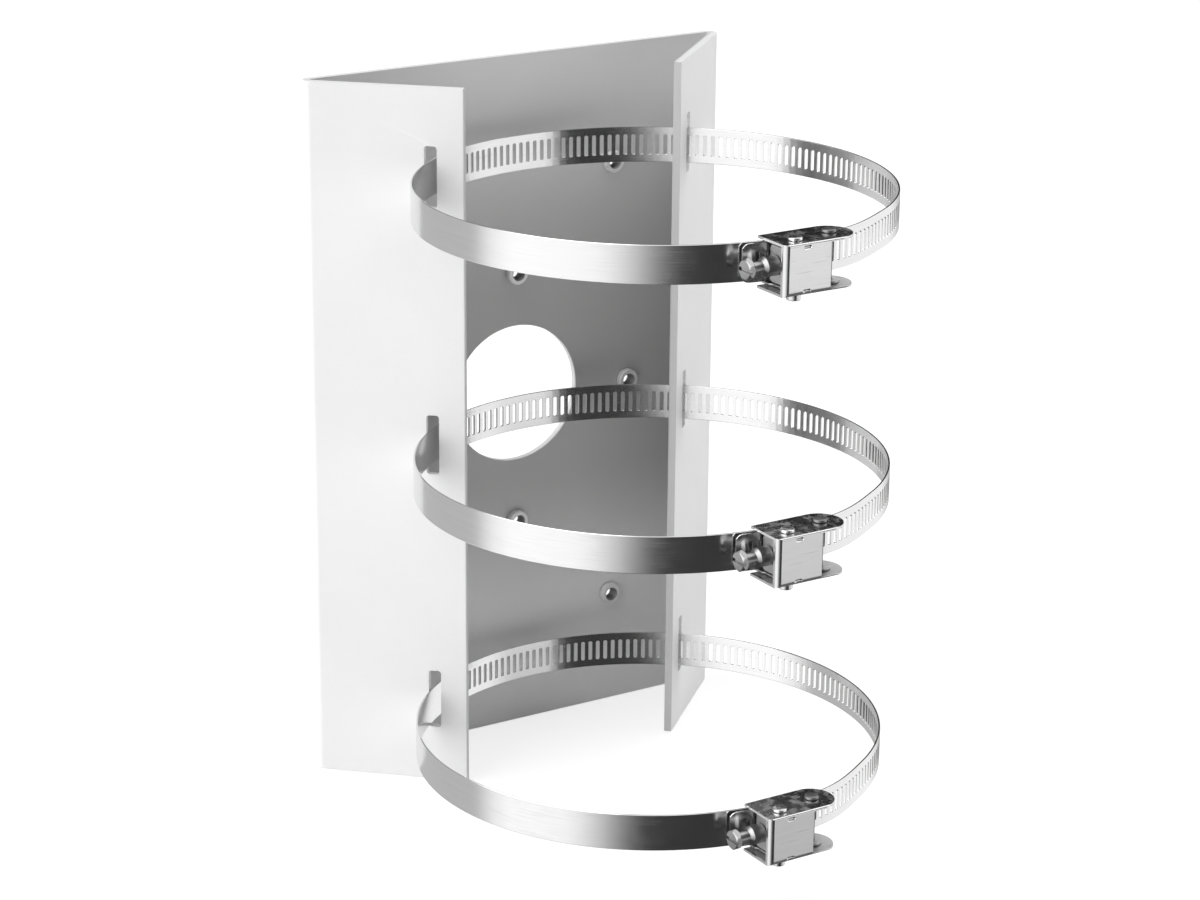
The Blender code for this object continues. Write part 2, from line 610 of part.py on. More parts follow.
clear_scene()
PARTS = make_collection("camera_pole_mount_bracket")
CUTTERS = make_collection("cutters")
MATERIALS = {
    "bracket_paint": make_material("bracket_paint", (0.55, 0.55, 0.55), 0.0, 0.45),
    "nut_steel": make_material("nut_steel", (0.62, 0.62, 0.62), 1.0, 0.30),
    "band_steel": make_material("band_steel", (0.72, 0.72, 0.72), 1.0, 0.22),
    "saddle_steel": make_material("saddle_steel", (0.62, 0.62, 0.62), 1.0, 0.30),
    "housing_steel": make_material("housing_steel", (0.72, 0.72, 0.72), 1.0, 0.25),
    "pin_steel": make_material("pin_steel", (0.75, 0.75, 0.75), 1.0, 0.30),
    "screw_steel": make_material("screw_steel", (0.70, 0.70, 0.70), 1.0, 0.28),
}
make_bracket()
make_nuts()
make_clamps()
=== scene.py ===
"""Camera pole mount bracket, dressed for a studio picture.

Metres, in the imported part's own frame: +Z up along the pole, +X to the right seen from
the pole, +Y from the pole to the back plate. A clamp is modelled once with the front of
its band at y = 0, and its copies are then moved to their places on the ring.
"""
import math

import bmesh
import bpy
from bpy.props import FloatProperty, FloatVectorProperty, IntProperty, PointerProperty
from mathutils import Matrix, Vector


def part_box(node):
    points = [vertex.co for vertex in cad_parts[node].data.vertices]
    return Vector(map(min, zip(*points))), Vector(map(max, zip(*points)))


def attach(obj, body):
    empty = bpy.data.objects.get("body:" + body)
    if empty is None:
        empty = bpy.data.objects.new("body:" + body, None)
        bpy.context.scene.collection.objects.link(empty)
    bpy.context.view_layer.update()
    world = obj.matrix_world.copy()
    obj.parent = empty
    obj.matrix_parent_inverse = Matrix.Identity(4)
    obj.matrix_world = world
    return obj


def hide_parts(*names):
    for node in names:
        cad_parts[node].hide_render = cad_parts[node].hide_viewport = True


bl_info = {
    "name": "Camera Pole Mount Bracket",
    "version": (1, 0, 0),
    "blender": (4, 5, 0),
    "location": "View3D > Sidebar > Pole Mount",
    "description": "Models a folded pole mount bracket with its three quick-release band clamps",
    "category": "Add Mesh",
}

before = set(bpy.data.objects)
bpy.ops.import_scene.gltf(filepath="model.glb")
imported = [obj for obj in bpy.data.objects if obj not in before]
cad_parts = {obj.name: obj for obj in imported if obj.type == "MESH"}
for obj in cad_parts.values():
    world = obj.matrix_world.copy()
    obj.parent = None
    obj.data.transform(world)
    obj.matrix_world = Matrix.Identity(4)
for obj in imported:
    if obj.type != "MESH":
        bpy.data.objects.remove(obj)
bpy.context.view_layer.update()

SEAT_GAP = 0.0003              # left between pieces that touch
MERGE = 0.000002               # points nearer than this are one
FAR = 0.05                     # past every face of a clamp, for cutters
CHAMFER = 0.0004               # on turned edges
PRESSED_EDGE = 0.00012         # radius of the edges of pressed sheet
CLAMP_NAMES = ("bottom", "middle", "top")
SORTING_POINTS = ((0.131, -0.357, 0.073), (-0.417, 0.059, -0.193))   # off every symmetry

# The camera, as fitted to the photograph: metres, degrees and millimetres.
CAMERA_TARGET = (0.0414, 0.0, 0.1112)
CAMERA_DISTANCE = 1.3769
CAMERA_AZIMUTH, CAMERA_ELEVATION, CAMERA_ROLL = -31.938, 18.584, 0.460
CAMERA_LENS, CAMERA_SENSOR = 99.655, 36.0

# The studio's walls below and above eye level. Each stop is an azimuth in degrees, from -Y
# towards +X, and a level of light.
LOW_WALL = ((-180, 0.55), (-126, 0.55), (-114, 1.05), (-102, 1.25), (14, 1.05), (112, 1.05),
            (136, 0.42), (180, 0.55))
HIGH_WALL = ((-180, 0.30), (-140, 0.30), (-128, 2.60), (-58, 2.60), (-48, 0.08), (42, 0.08),
             (52, 1.60), (130, 1.60), (142, 0.30), (180, 0.30))
OVERHEAD = 1.05
CARD_DEPTH = 0.96              # how much of the light a dark card takes away


def size(name, description, default):
    """A length in metres."""
    return FloatProperty(name=name, description=description, default=default, min=0,
                         precision=5, unit="LENGTH")


def place_along(name, description, default):
    """A place along an axis in metres, which may be negative."""
    return FloatProperty(name=name, description=description, default=default, precision=5,
                         unit="LENGTH")


def turn(name, description, degrees):
    return FloatProperty(name=name, description=description, default=math.radians(degrees),
                         subtype="ANGLE")


def grey(name, description, level):
    return FloatVectorProperty(name=name, description=description, subtype="COLOR", size=3,
                               default=(level, level, level), min=0, max=1)


def share(name, description, default):
    return FloatProperty(name=name, description=description, default=default, min=0, max=1,
                         subtype="FACTOR")


class BracketSizes(bpy.types.PropertyGroup):
    """Sizes of the folded sheet and of the nuts clinched in it"""
    height: size("Height", "Height of the back plate and flanges", 0.282)
    width: size("Width", "Width over both folds", 0.1866)
    sheet: size("Sheet", "Thickness of the sheet", 0.003)
    fold: size("Fold Radius", "Inside radius of both folds", 0.001)
    angle: turn("Flange Angle", "Angle between a flange and the back plate", 43)
    opening: size("Opening", "Between the flanges' free edges, outside", 0.0972)
    cable_hole: size("Cable Hole", "Radius of the hole in the back plate", 0.0285)
    cable_rise: size("Hole Rise", "Height of the cable hole above the plate's middle", 0.002)
    slot_height: size("Slot Height", "Height of a band slot", 0.024)
    slot_width: size("Slot Width", "Width of a band slot along its flange", 0.005)
    slot_corner: size("Slot Corner", "Corner radius of a band slot", 0.0012)
    edge: size("Edge Rounding", "Radius that the paint gives the sheet's edges", 0.0004)
    nut_radius: size("Nut Radius", "Radius of a clinch nut's collar", 0.0045)
    nut_height: size("Nut Height", "How far a nut stands off the inner face", 0.0025)
    nut_shank: size("Nut Shank", "Radius of a nut's shank", 0.0036)
    nut_bore: size("Nut Bore", "Radius of a nut's bore inside its thread", 0.0022)
    nut_diamond: size("Nut Diamond", "From the plate's middle to the nuts round the hole", 0.0525)
    nut_grid_x: size("Nut Grid Width", "From the middle to the corner nuts, sideways", 0.045)
    nut_grid_z: size("Nut Grid Height", "From the middle to the corner nuts, upwards", 0.093)


class BandSizes(bpy.types.PropertyGroup):
    """Sizes of the perforated bands"""
    radius: size("Radius", "Radius of the ring to the middle of the band", 0.090)
    width: size("Width", "Width of the band", 0.0142)
    sheet: size("Sheet", "Thickness of the band", 0.0007)
    edge: size("Edge Rounding", "Radius of the band's slit edges", 0.0002)
    standoff: size("Standoff", "From the plate's inner face to the band", 0.0119)
    spacing: size("Spacing", "Between one clamp's slots and the next", 0.1065)
    pitch: size("Pitch", "From one perforation to the next", 0.003175)
    slot_length: size("Perforation Length", "Length of a perforation across the band", 0.0081)
    slot_width: size("Perforation Width", "Width of a perforation along the band", 0.0016)
    slots: IntProperty(name="Perforations", description="Number of perforations", default=108)
    fixed_end: turn("Fixed End", "Angle from the clamp's middle to the band's start", 9.5)
    tail: turn("Tail", "Angle from the clamp's middle to the band's tip", 14.5)
    rise_start: turn("Rise Start", "Where the band starts to climb over its fixed end", 32)
    rise_end: turn("Rise End", "Where the band runs level on its fixed end", 12.5)


class ClampSizes(bpy.types.PropertyGroup):
    """Sizes of the saddle, the swing housing, its pins and the worm screw"""
    saddle_sheet: size("Saddle Sheet", "Thickness of the saddle", 0.0008)
    toe: size("Saddle Toe", "Reach of the saddle past its hooks", 0.0008)
    ear_below: size("Ear Below", "Reach of the ears past the band", 0.0012)
    ear_valley: size("Ear Valley", "Height of the ears between hook and pivot", 0.0042)
    hook_rise: size("Hook Rise", "Height of a hook's tip above the latch pin", 0.0020)
    hook_width: size("Hook Width", "Width of a hook", 0.0022)
    ear_corner: size("Ear Corner", "Radius of an ear's corners", 0.0008)
    pivot_x: size("Pivot Place", "Pivot pin's place along the screw", 0.0083)
    ear_radius: size("Ear Radius", "Radius of the ear round the pivot pin", 0.0042)
    housing_sheet: size("Housing Sheet", "Thickness of the swing housing", 0.0009)
    housing_left: place_along("Housing End", "The housing's end by the screw's head", -0.0156)
    depth: size("Housing Depth", "From the band's middle to the housing's web", 0.0170)
    web_to_pivot: size("Web End", "From the web's end to the pivot pin", 0.0047)
    housing_fold: size("Housing Fold", "Outside radius of the housing's lower fold", 0.0020)
    upper_fold: size("Upper Fold", "Outside radius of the housing's upper fold", 0.0007)
    roll: size("Rolled Edge", "Outside radius of the web's edge by the screw's head", 0.0022)
    roll_lip: size("Rolled Lip", "Straight length of that edge past its roll", 0.0006)
    dimple_x: place_along("Dimple Place", "Place of the dimples pressed in the web", -0.0064)
    dimple: size("Dimple", "Radius of a dimple", 0.0009)
    dimple_depth: size("Dimple Depth", "Depth of a dimple", 0.00045)
    dimple_inset: size("Dimple Inset", "From a dimple's middle to the housing's plate", 0.0016)
    tab_inset: size("Bearing Tab", "From the housing's end to its bearing tab", 0.0033)
    tab_half_width: size("Bearing Tab Width", "Half the bearing tab's width", 0.0066)
    tab_corner: size("Bearing Tab Corner", "Radius of the bearing tab's corners", 0.0016)
    pin_radius: size("Pin Radius", "Radius of both pins", 0.0015)
    head_radius: size("Pin Head", "Radius of a pin's heads", 0.0026)
    head_height: size("Pin Head Height", "Height of a pin's head", 0.0012)
    latch_inset: size("Latch Pin", "From the housing's end to the latch pin", 0.0076)
    latch_out: size("Latch Depth", "From the band's middle to the latch pin", 0.0115)
    latch_foot: size("Latch Foot", "Height of the latch pin's lower head", 0.0022)
    worm: size("Worm Radius", "Outer radius of the worm's thread", 0.0042)
    worm_root: size("Worm Root", "Radius at the root of the worm's thread", 0.0031)
    neck: size("Neck Radius", "Radius of the screw in its bearing", 0.0022)
    shoulder: size("Shoulder Radius", "Radius of the shoulder inside the bearing tab", 0.0032)
    shoulder_length: size("Shoulder Length", "Length of that shoulder", 0.0011)
    collar: size("Collar Radius", "Radius of the collar outside the bearing tab", 0.0036)
    collar_length: size("Collar Length", "Length of that collar", 0.0060)
    shank: size("Shank Radius", "Radius of the screw between collar and head", 0.0024)
    shank_length: size("Shank Length", "Length of that shank", 0.0048)
    head_across: size("Head Across Flats", "Width of the hexagon head across its flats", 0.0070)
    head_length: size("Head Length", "Length of the hexagon head", 0.0024)
    driver_width: size("Driver Slot Width", "Width of the slot for a screwdriver", 0.0014)
    driver_depth: size("Driver Slot Depth", "Depth of the slot for a screwdriver", 0.0014)


class MountFinishes(bpy.types.PropertyGroup):
    """Colours of the paint and of each steel"""
    paint: grey("Paint", "Colour of the bracket's powder coat", 0.82)
    # Painted shade: how much darker the channel's inner faces and the flanges' free edges are
    # painted
    thin_coat: share("Thin Coat", "How much darker the thinner coat inside the folds is", 0.42)
    nut: grey("Nut", "Colour of the zinc-plated nuts", 0.84)
    band: grey("Band", "Colour of the rolled stainless bands", 0.82)
    housing: grey("Housing", "Colour of the pressed stainless housings", 0.76)
    saddle: grey("Saddle", "Colour of the pressed stainless saddles", 0.48)
    screw: grey("Screw", "Colour of the plated screws", 0.42)
    pin: grey("Latch Pin", "Colour of the bright latch pins", 0.72)
    rivet: grey("Pivot Pin", "Colour of the duller pivot pins", 0.24)
    floor: grey("Floor", "Colour of the studio floor", 0.92)
    shadow: share("Shadow", "How much of the floor's shadow the camera sees", 0.4)


def clamp_height(name):
    """The height of a clamp's middle, taken from its packed band."""
    low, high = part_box(f"{name}_band")
    return (low.z + high.z) / 2


class Layout:
    """Places that follow from the sizes."""

    def __init__(self, context):
        scene = context.scene
        bracket, band, clamp = scene.mount_bracket, scene.mount_band, scene.mount_clamp
        self.bracket, self.band, self.clamp = bracket, band, clamp

        self.inner_y = -bracket.sheet / 2
        self.fold_middle = bracket.fold + bracket.sheet / 2
        fold_outer = bracket.fold + bracket.sheet
        self.fold_centre = Vector((bracket.width / 2 - fold_outer,
                                   bracket.sheet / 2 - fold_outer, 0))
        self.outward = Vector((math.sin(bracket.angle), -math.cos(bracket.angle), 0))
        self.inward = Vector((-math.cos(bracket.angle), -math.sin(bracket.angle), 0))
        self.flange_start = self.fold_centre + self.fold_middle * self.outward
        corner = self.fold_centre + fold_outer * self.outward
        self.flange_length = (corner.x - bracket.opening / 2) / math.cos(bracket.angle)

        self.ring_y = self.inner_y - band.standoff - band.radius
        self.front_y = self.ring_y - band.radius
        self.slot_heights = [bracket.height / 2 + step * band.spacing for step in (-1, 0, 1)]
        self.clamp_heights = [clamp_height(name) for name in CLAMP_NAMES]

        self.saddle_inner = band.radius + band.sheet / 2 + SEAT_GAP
        self.saddle_outer = self.saddle_inner + clamp.saddle_sheet
        self.tail_radius = self.saddle_outer + SEAT_GAP + band.sheet / 2
        self.tail_out = self.tail_radius + band.sheet / 2 - band.radius
        self.ear_inner = band.width / 2 + SEAT_GAP
        self.ear_outer = self.ear_inner + clamp.saddle_sheet
        self.housing_inner = self.ear_outer + SEAT_GAP
        self.housing_outer = self.housing_inner + clamp.housing_sheet
        self.pivot_out = clamp.depth / 2
        self.latch_x = clamp.housing_left + clamp.latch_inset
        self.hook_right = self.latch_x - clamp.pin_radius - SEAT_GAP
        self.hook_left = self.hook_right - clamp.hook_width
        self.saddle_left = self.hook_left - clamp.toe
        self.saddle_right = clamp.pivot_x + clamp.ear_radius
        self.tab_x = clamp.housing_left + clamp.tab_inset
        self.screw_out = self.tail_out + SEAT_GAP + clamp.worm
        self.shoulder_left = self.tab_x + clamp.housing_sheet + SEAT_GAP
        self.shoulder_right = self.shoulder_left + clamp.shoulder_length
        self.worm_left = self.latch_x + clamp.pin_radius + 2 * SEAT_GAP
        self.worm_right = clamp.pivot_x - clamp.pin_radius - 2 * SEAT_GAP
        self.collar_right = self.tab_x - SEAT_GAP
        self.collar_left = self.collar_right - clamp.collar_length
        self.head_right = self.collar_left - clamp.shank_length
        self.head_left = self.head_right - clamp.head_length

    def slot_along(self):
        """How far along the flange the middle of a band slot lies."""
        offset = self.flange_start - Vector((0, self.ring_y, 0))
        along = offset.dot(self.inward)
        radius = self.band.radius
        crossing = -along - math.sqrt(along ** 2 - offset.length_squared + radius ** 2)
        radial = (offset + crossing * self.inward) / radius
        lean = abs(radial.dot(self.outward)) * self.bracket.sheet / 2
        return (crossing + self.bracket.slot_width / 2 - self.band.sheet / 2
                - SEAT_GAP - lean)

    def nut_places(self):
        bracket = self.bracket
        reach = bracket.nut_diamond
        grid = [(x, z) for x in (-bracket.nut_grid_x, bracket.nut_grid_x)
                for z in (-bracket.nut_grid_z, bracket.nut_grid_z)]
        return [(x, bracket.height / 2 + z)
                for x, z in [(reach, 0), (-reach, 0), (0, reach), (0, -reach)] + grid]

    def band_point(self, angle):
        """The middle of the band, at an angle counted leftwards from the clamp."""
        band = self.band
        start, end = 2 * math.pi - band.rise_start, 2 * math.pi - band.rise_end
        climb = min(max((angle - start) / (end - start), 0), 1)
        radius = band.radius + (self.tail_radius - band.radius) * climb ** 2 * (3 - 2 * climb)
        return Vector((-radius * math.sin(angle), band.radius - radius * math.cos(angle), 0))


def deselect():
    if bpy.context.mode != "OBJECT":
        bpy.ops.object.mode_set(mode="OBJECT")
    bpy.ops.object.select_all(action="DESELECT")


def only(piece):
    """Select one object alone and make it active."""
    deselect()
    piece.select_set(True)
    bpy.context.view_layer.objects.active = piece


def settled(piece):
    """Put the place, turn and scale of the one selected object in its mesh."""
    bpy.ops.object.transform_apply(location=True, rotation=True, scale=True)
    return piece


def named(name):
    """Name the new active object, and settle it."""
    piece = bpy.context.object
    piece.name = name
    piece.data.name = name
    return settled(piece)


def add_block(name, low, high, turned=0):
    """A block between two corners, turned about the vertical through its middle."""
    low, high = Vector(low), Vector(high)
    deselect()
    bpy.ops.mesh.primitive_cube_add(size=1, location=(low + high) / 2, scale=high - low,
                                    rotation=(0, 0, turned))
    return named(name)


def add_rod(name, start, end, radius, sides):
    """A round or polygonal rod between two points."""
    start, end = Vector(start), Vector(end)
    along = end - start
    deselect()
    bpy.ops.mesh.primitive_cylinder_add(vertices=sides, radius=radius, depth=along.length,
                                        location=(start + end) / 2,
                                        rotation=along.to_track_quat("Z", "Y").to_euler())
    return named(name)


def edit(piece):
    only(piece)
    bpy.ops.object.mode_set(mode="EDIT")


def select_all():
    bpy.ops.mesh.select_all(action="SELECT")


def leave_edit():
    """Leave edit mode, with the mesh's elements sorted by place.

    Operators leave them in an order that varies from run to run, and the booleans that
    follow would vary with it.
    """
    select_all()
    for point in SORTING_POINTS:
        bpy.context.scene.cursor.location = point
        bpy.ops.mesh.sort_elements(type="CURSOR_DISTANCE", elements={"VERT", "EDGE", "FACE"})
    bpy.ops.object.mode_set(mode="OBJECT")


def in_order(piece):
    """Sort the elements of a piece that a modifier has changed."""
    edit(piece)
    leave_edit()
    return piece


def merge_all():
    select_all()
    bpy.ops.mesh.remove_doubles(threshold=MERGE)


def faced_outwards(piece):
    """Turn every normal of the piece being edited outwards, and leave edit mode."""
    select_all()
    bpy.ops.mesh.normals_make_consistent(inside=False)
    leave_edit()
    return piece


def extrude(offset):
    bpy.ops.mesh.extrude_region_move(TRANSFORM_OT_translate={"value": offset})


def pick(kind, test):
    """In edit mode, select the vertices, edges or faces that pass a test."""
    bpy.ops.mesh.select_mode(type=kind)
    bpy.ops.mesh.select_all(action="DESELECT")
    mesh = bpy.context.edit_object.data
    bm = bmesh.from_edit_mesh(mesh)
    bm.normal_update()
    for item in {"VERT": bm.verts, "EDGE": bm.edges, "FACE": bm.faces}[kind]:
        if test(item):
            item.select = True
    bm.select_flush_mode()
    bmesh.update_edit_mesh(mesh)


def runs_along(edge, axis):
    """True if an edge is parallel to axis 0, 1 or 2."""
    along = edge.verts[1].co - edge.verts[0].co
    return along.length - abs(along[axis]) < MERGE


def pick_edges(test, axis=None, across=None):
    """Select the edges whose ends both pass a test on their place.

    An axis leaves only the edges along it, and across leaves out those along it.
    """
    pick("EDGE", lambda edge: all(test(vert.co) for vert in edge.verts)
         and (axis is None or runs_along(edge, axis))
         and (across is None or not runs_along(edge, across)))


def bevel(offset, segments):
    bpy.ops.mesh.bevel(offset=offset, segments=segments, affect="EDGES")


def applied(piece, kind, **settings):
    """Add a modifier and apply it."""
    only(piece)
    modifier = piece.modifiers.new(kind.lower(), kind)
    for key, value in settings.items():
        setattr(modifier, key, value)
    bpy.ops.object.modifier_apply(modifier=modifier.name)
    return piece


def repeated(piece, count, offset, **settings):
    """A row of the piece, each one an offset further on."""
    return applied(piece, "ARRAY", count=count, use_relative_offset=False,
                   use_constant_offset=True, constant_offset_displace=offset, **settings)


def combined(piece, other, operation="DIFFERENCE"):
    """Cut, join or intersect one solid with another, which is used up."""
    applied(piece, "BOOLEAN", object=other, operation=operation, solver="EXACT")
    bpy.data.objects.remove(other, do_unlink=True)
    return in_order(piece)


def bored(piece, start, end, radius, sides=24):
    """A solid with a round hole from one point to another."""
    return combined(piece, add_rod("bore", start, end, radius, sides))


def bored_for_pin(piece, layout, x, out):
    """A piece with a hole through both its plates, for a pin that fits with play."""
    return bored(piece, (x, -out, -FAR), (x, -out, FAR),
                 layout.clamp.pin_radius + SEAT_GAP / 2)


def drawn_line(name, points):
    """A line of edges, drawn by extruding one point from place to place."""
    points = [Vector(point) for point in points]
    deselect()
    bpy.ops.mesh.primitive_plane_add(size=0.001, location=points[0])
    piece = named(name)
    edit(piece)
    select_all()
    bpy.ops.mesh.merge(type="CENTER")
    bpy.ops.mesh.select_mode(type="VERT")
    select_all()
    for start, end in zip(points, points[1:]):
        bpy.ops.mesh.extrude_vertices_move(TRANSFORM_OT_translate={"value": end - start})
    select_all()
    return piece


def plate(name, outline, low, high):
    """A flat plate: an outline in x and y, filled, and raised from one height to another."""
    piece = drawn_line(name, [(x, y, low) for x, y in outline])
    bpy.ops.mesh.edge_face_add()
    extrude((0, 0, high - low))
    return faced_outwards(piece)


def spun(name, points, centre, axis, steps):
    """A closed turned piece: a profile spun once round an axis."""
    piece = drawn_line(name, points)
    bpy.ops.mesh.spin(steps=steps, angle=2 * math.pi, center=centre, axis=axis)
    merge_all()
    return faced_outwards(piece)


def shaded(piece, angle=math.radians(40)):
    """Smooth shading that leaves flat faces flat."""
    only(piece)
    bpy.ops.object.shade_smooth_by_angle(angle=angle)
    return applied(piece, "WEIGHTED_NORMAL", mode="FACE_AREA", weight=60, keep_sharp=True)


def rounded(piece, radius, steps, angle=math.radians(28)):
    """Round every edge that turns by more than an angle."""
    return in_order(applied(piece, "BEVEL", width=radius, segments=steps,
                            limit_method="ANGLE", angle_limit=angle, use_clamp_overlap=True))


def moved_copy(piece, name, offset):
    """A copy with its own mesh, and its place in the mesh."""
    only(piece)
    bpy.ops.object.duplicate(linked=False)
    bpy.ops.transform.translate(value=offset)
    return named(name)


def arc(x, y, radius, start, end, steps):
    """Points on an arc, both ends included, with angles in degrees."""
    angles = [math.radians(start + (end - start) * step / steps) for step in range(steps + 1)]
    return [(x + radius * math.cos(a), y + radius * math.sin(a)) for a in angles]


def keep_places(piece, name):
    """Keep each point's place on the pattern, before it is bent or copied, for its finish."""
    kept = piece.data.attributes.new(name, "FLOAT_VECTOR", "POINT")
    for item, vert in zip(kept.data, piece.data.vertices):
        item.vector = vert.co


def dressed(piece, material, body, slot, *nodes):
    """Give a finished piece its material and body, and hide the nodes that it stands for. The
    slot is not used.
    """
    piece.data.materials.clear()
    piece.data.materials.append(material)
    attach(piece, body)
    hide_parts(*nodes)
    return piece


def dressed_clamps(model, part, material, body, slot):
    """Copy one modelled piece to all three clamps, and remove the pattern."""
    layout = Layout(bpy.context)
    for name, height in zip(CLAMP_NAMES, layout.clamp_heights):
        copy = moved_copy(model, f"{name}_clamp_{part}", (0, layout.front_y, height))
        dressed(copy, material, body.format(name), slot, f"{name}_{part}")
    bpy.data.objects.remove(model, do_unlink=True)


class Wire:
    """One output of a shader graph. Arithmetic on it adds Math nodes."""

    def __init__(self, graph, socket):
        self.graph = graph
        self.socket = socket

    def maths(self, operation, first, second):
        return self.graph.node("ShaderNodeMath", {"operation": operation},
                               {0: first, 1: second})

    def __add__(self, other):
        return self.maths("ADD", self, other)

    __radd__ = __add__

    def __sub__(self, other):
        return self.maths("SUBTRACT", self, other)

    def __rsub__(self, other):
        return self.maths("SUBTRACT", other, self)

    def __mul__(self, other):
        return self.maths("MULTIPLY", self, other)

    __rmul__ = __mul__

    def __abs__(self):
        return self.maths("ABSOLUTE", self, 0.0)


class Graph:
    """The nodes of one material or world."""

    def __init__(self, tree):
        self.tree = tree
        tree.nodes.clear()

    def node(self, kind, settings=None, sockets=None, output=0):
        """Add a node: its settings first, then the values or links of its sockets."""
        made = self.tree.nodes.new(kind)
        for key, value in (settings or {}).items():
            if key == "stops":
                self.set_stops(made.color_ramp, value)
            else:
                setattr(made, key, value)
        for key, value in (sockets or {}).items():
            if isinstance(value, Wire):
                self.tree.links.new(value.socket, made.inputs[key])
            else:
                made.inputs[key].default_value = value
        return Wire(self, made.outputs[output]) if made.outputs else None

    @staticmethod
    def set_stops(ramp, stops):
        while len(ramp.elements) < len(stops):
            ramp.elements.new(1.0)
        for element, (place, level) in zip(ramp.elements, stops):
            element.position = place
            element.color = (level, level, level, 1)

    def coordinates(self):
        return self.node("ShaderNodeTexCoord", output="Object")

    def scaled(self, vector, scale):
        return self.node("ShaderNodeVectorMath", {"operation": "MULTIPLY"},
                         {0: vector, 1: scale})

    def parts(self, vector):
        split = self.node("ShaderNodeSeparateXYZ", sockets={"Vector": vector})
        return [Wire(self, output) for output in split.socket.node.outputs]

    def noise(self, vector, scale, detail=2.0, roughness=0.5):
        return self.node("ShaderNodeTexNoise", sockets={
            "Vector": vector, "Scale": scale, "Detail": detail, "Roughness": roughness})

    def step(self, value, low, high):
        """A smooth step from 0 at low to 1 at high."""
        return self.node("ShaderNodeMapRange", {"interpolation_type": "SMOOTHSTEP"}, {
            "Value": value, "From Min": low, "From Max": high})

    def highest(self, first, second):
        return first.maths("MAXIMUM", first, second)

    def shade(self, colour, level):
        """A colour made lighter or darker by a number that varies."""
        level = self.node("ShaderNodeCombineXYZ", sockets={0: level, 1: level, 2: level})
        return self.scaled(level, tuple(colour))

    def bump(self, height, distance, strength=1.0):
        return self.node("ShaderNodeBump", sockets={
            "Height": height, "Distance": distance, "Strength": strength})

    def surface(self, sockets):
        shader = self.node("ShaderNodeBsdfPrincipled", sockets=sockets)
        self.node("ShaderNodeOutputMaterial", sockets={"Surface": shader})


def new_material(name):
    material = bpy.data.materials.get(name) or bpy.data.materials.new(name)
    material.use_nodes = True
    return material, Graph(material.node_tree)


def powder_coat(layout):
    """Light grey powder coat: orange peel, fine flecks, and rubs round the band slots.

    It is painted darker, as painted shade, on the flanges' free edges and on the channel's
    inner faces, most of all half way up.
    """
    scene = bpy.context.scene
    material, graph = new_material("light_grey_powder_coat")
    place = graph.coordinates()
    x, y, z = graph.parts(place)
    cloud = graph.noise(place, scale=22, detail=3)
    fleck = graph.noise(place, scale=3200, roughness=0.6)
    peel = graph.noise(place, scale=620, roughness=0.45)

    middle = layout.flange_start + layout.slot_along() * layout.inward
    along = (abs(x) - middle.x) * layout.inward.x + (y - middle.y) * layout.inward.y
    spacing = layout.band.spacing
    rise = graph.node("ShaderNodeMath", {"operation": "PINGPONG"}, {
        0: z - (layout.slot_heights[0] - spacing), 1: spacing / 2})
    out = (abs(x) - middle.x) * layout.outward.x + (y - middle.y) * layout.outward.y
    beyond = graph.highest(abs(along) - layout.bracket.slot_width / 2,
                           rise - layout.bracket.slot_height / 2)
    beyond = graph.highest(beyond, abs(out) - layout.bracket.sheet)
    patches = graph.noise(place, scale=900, detail=3)
    worn = (1 - graph.step(beyond, 0.0001, 0.0009)) * graph.step(patches, 0.50, 0.74)
    height = layout.bracket.height
    # Painted shade on the inner faces of the channel, darkest half way up
    inside = (1 - graph.step(y, -0.0012, -0.0004)) * (1 - graph.step(out, -0.0012, -0.0004))
    inside = inside * graph.step(z, 0.14 * height, 0.39 * height)
    inside = inside * (1 - 0.65 * graph.step(z, 0.64 * height, 0.96 * height))
    # and painted shade on the flanges' free edges
    free_edge = layout.flange_length - layout.slot_along()
    inside = graph.highest(inside, 0.8 * graph.step(along, free_edge - 0.0005,
                                                    free_edge - 0.0001)
                           * (1 - graph.step(abs(out), 0.0018, 0.0026)))
    level = ((0.93 + 0.10 * cloud + 0.10 * (fleck - 0.5)) * (1 - 0.16 * worn)
             * (1 - scene.mount_finish.thin_coat * inside))
    graph.surface({
        "Base Color": graph.shade(scene.mount_finish.paint, level),
        "Roughness": 0.46 + 0.10 * cloud + 0.08 * (fleck - 0.5) - 0.10 * worn,
        "Metallic": 0.4 * worn,
        "Normal": graph.bump(peel + 0.25 * fleck, 0.00005, 0.55),
        "IOR": 1.5,
    })
    return material


def steel(name, colour, place_scale, roughness, streak=0.5, spots=0.0, attribute=None,
          marks_and_shade=None, metallic=1.0):
    """Bright steel with fine rolling or polishing lines that run along one direction.

    A marks function, if given, gives a factor on the colour, which paints shade, and an
    amount to add to the roughness, both of which vary with the place.
    """
    material, graph = new_material(name)
    if attribute:
        place = graph.node("ShaderNodeAttribute", {"attribute_name": attribute}, output="Vector")
    else:
        place = graph.coordinates()
    lines = graph.noise(graph.scaled(place, place_scale), 1.0, 4, 0.62)
    broad = graph.noise(graph.scaled(place, tuple(part / 9 for part in place_scale)), 1.0, 2)
    smear = graph.noise(place, scale=160, detail=3, roughness=0.55)
    scratch = graph.step(graph.noise(graph.scaled(place, tuple(3 * part for part in place_scale)),
                                     0.35, 1), 0.66, 0.72)
    level = 0.93 + 0.10 * lines + 0.06 * (broad - 0.5) - 0.10 * scratch
    if spots:
        level = level - spots * graph.step(graph.noise(place, scale=1400), 0.60, 0.70)
    dull = roughness + 0.16 * (lines - 0.5) + 0.10 * (smear - 0.5) + 0.05 * scratch
    if marks_and_shade:
        darker, duller = marks_and_shade(graph, place)
        level, dull = level * darker, dull + duller
    graph.surface({
        "Base Color": graph.shade(colour, level),
        "Metallic": metallic,
        "Roughness": dull,
        "Normal": graph.bump(lines + 0.4 * broad - 0.6 * scratch, 0.00001, streak),
    })
    return material


class MountOperator:
    """What every operator here shares"""
    bl_options = {"REGISTER", "UNDO"}


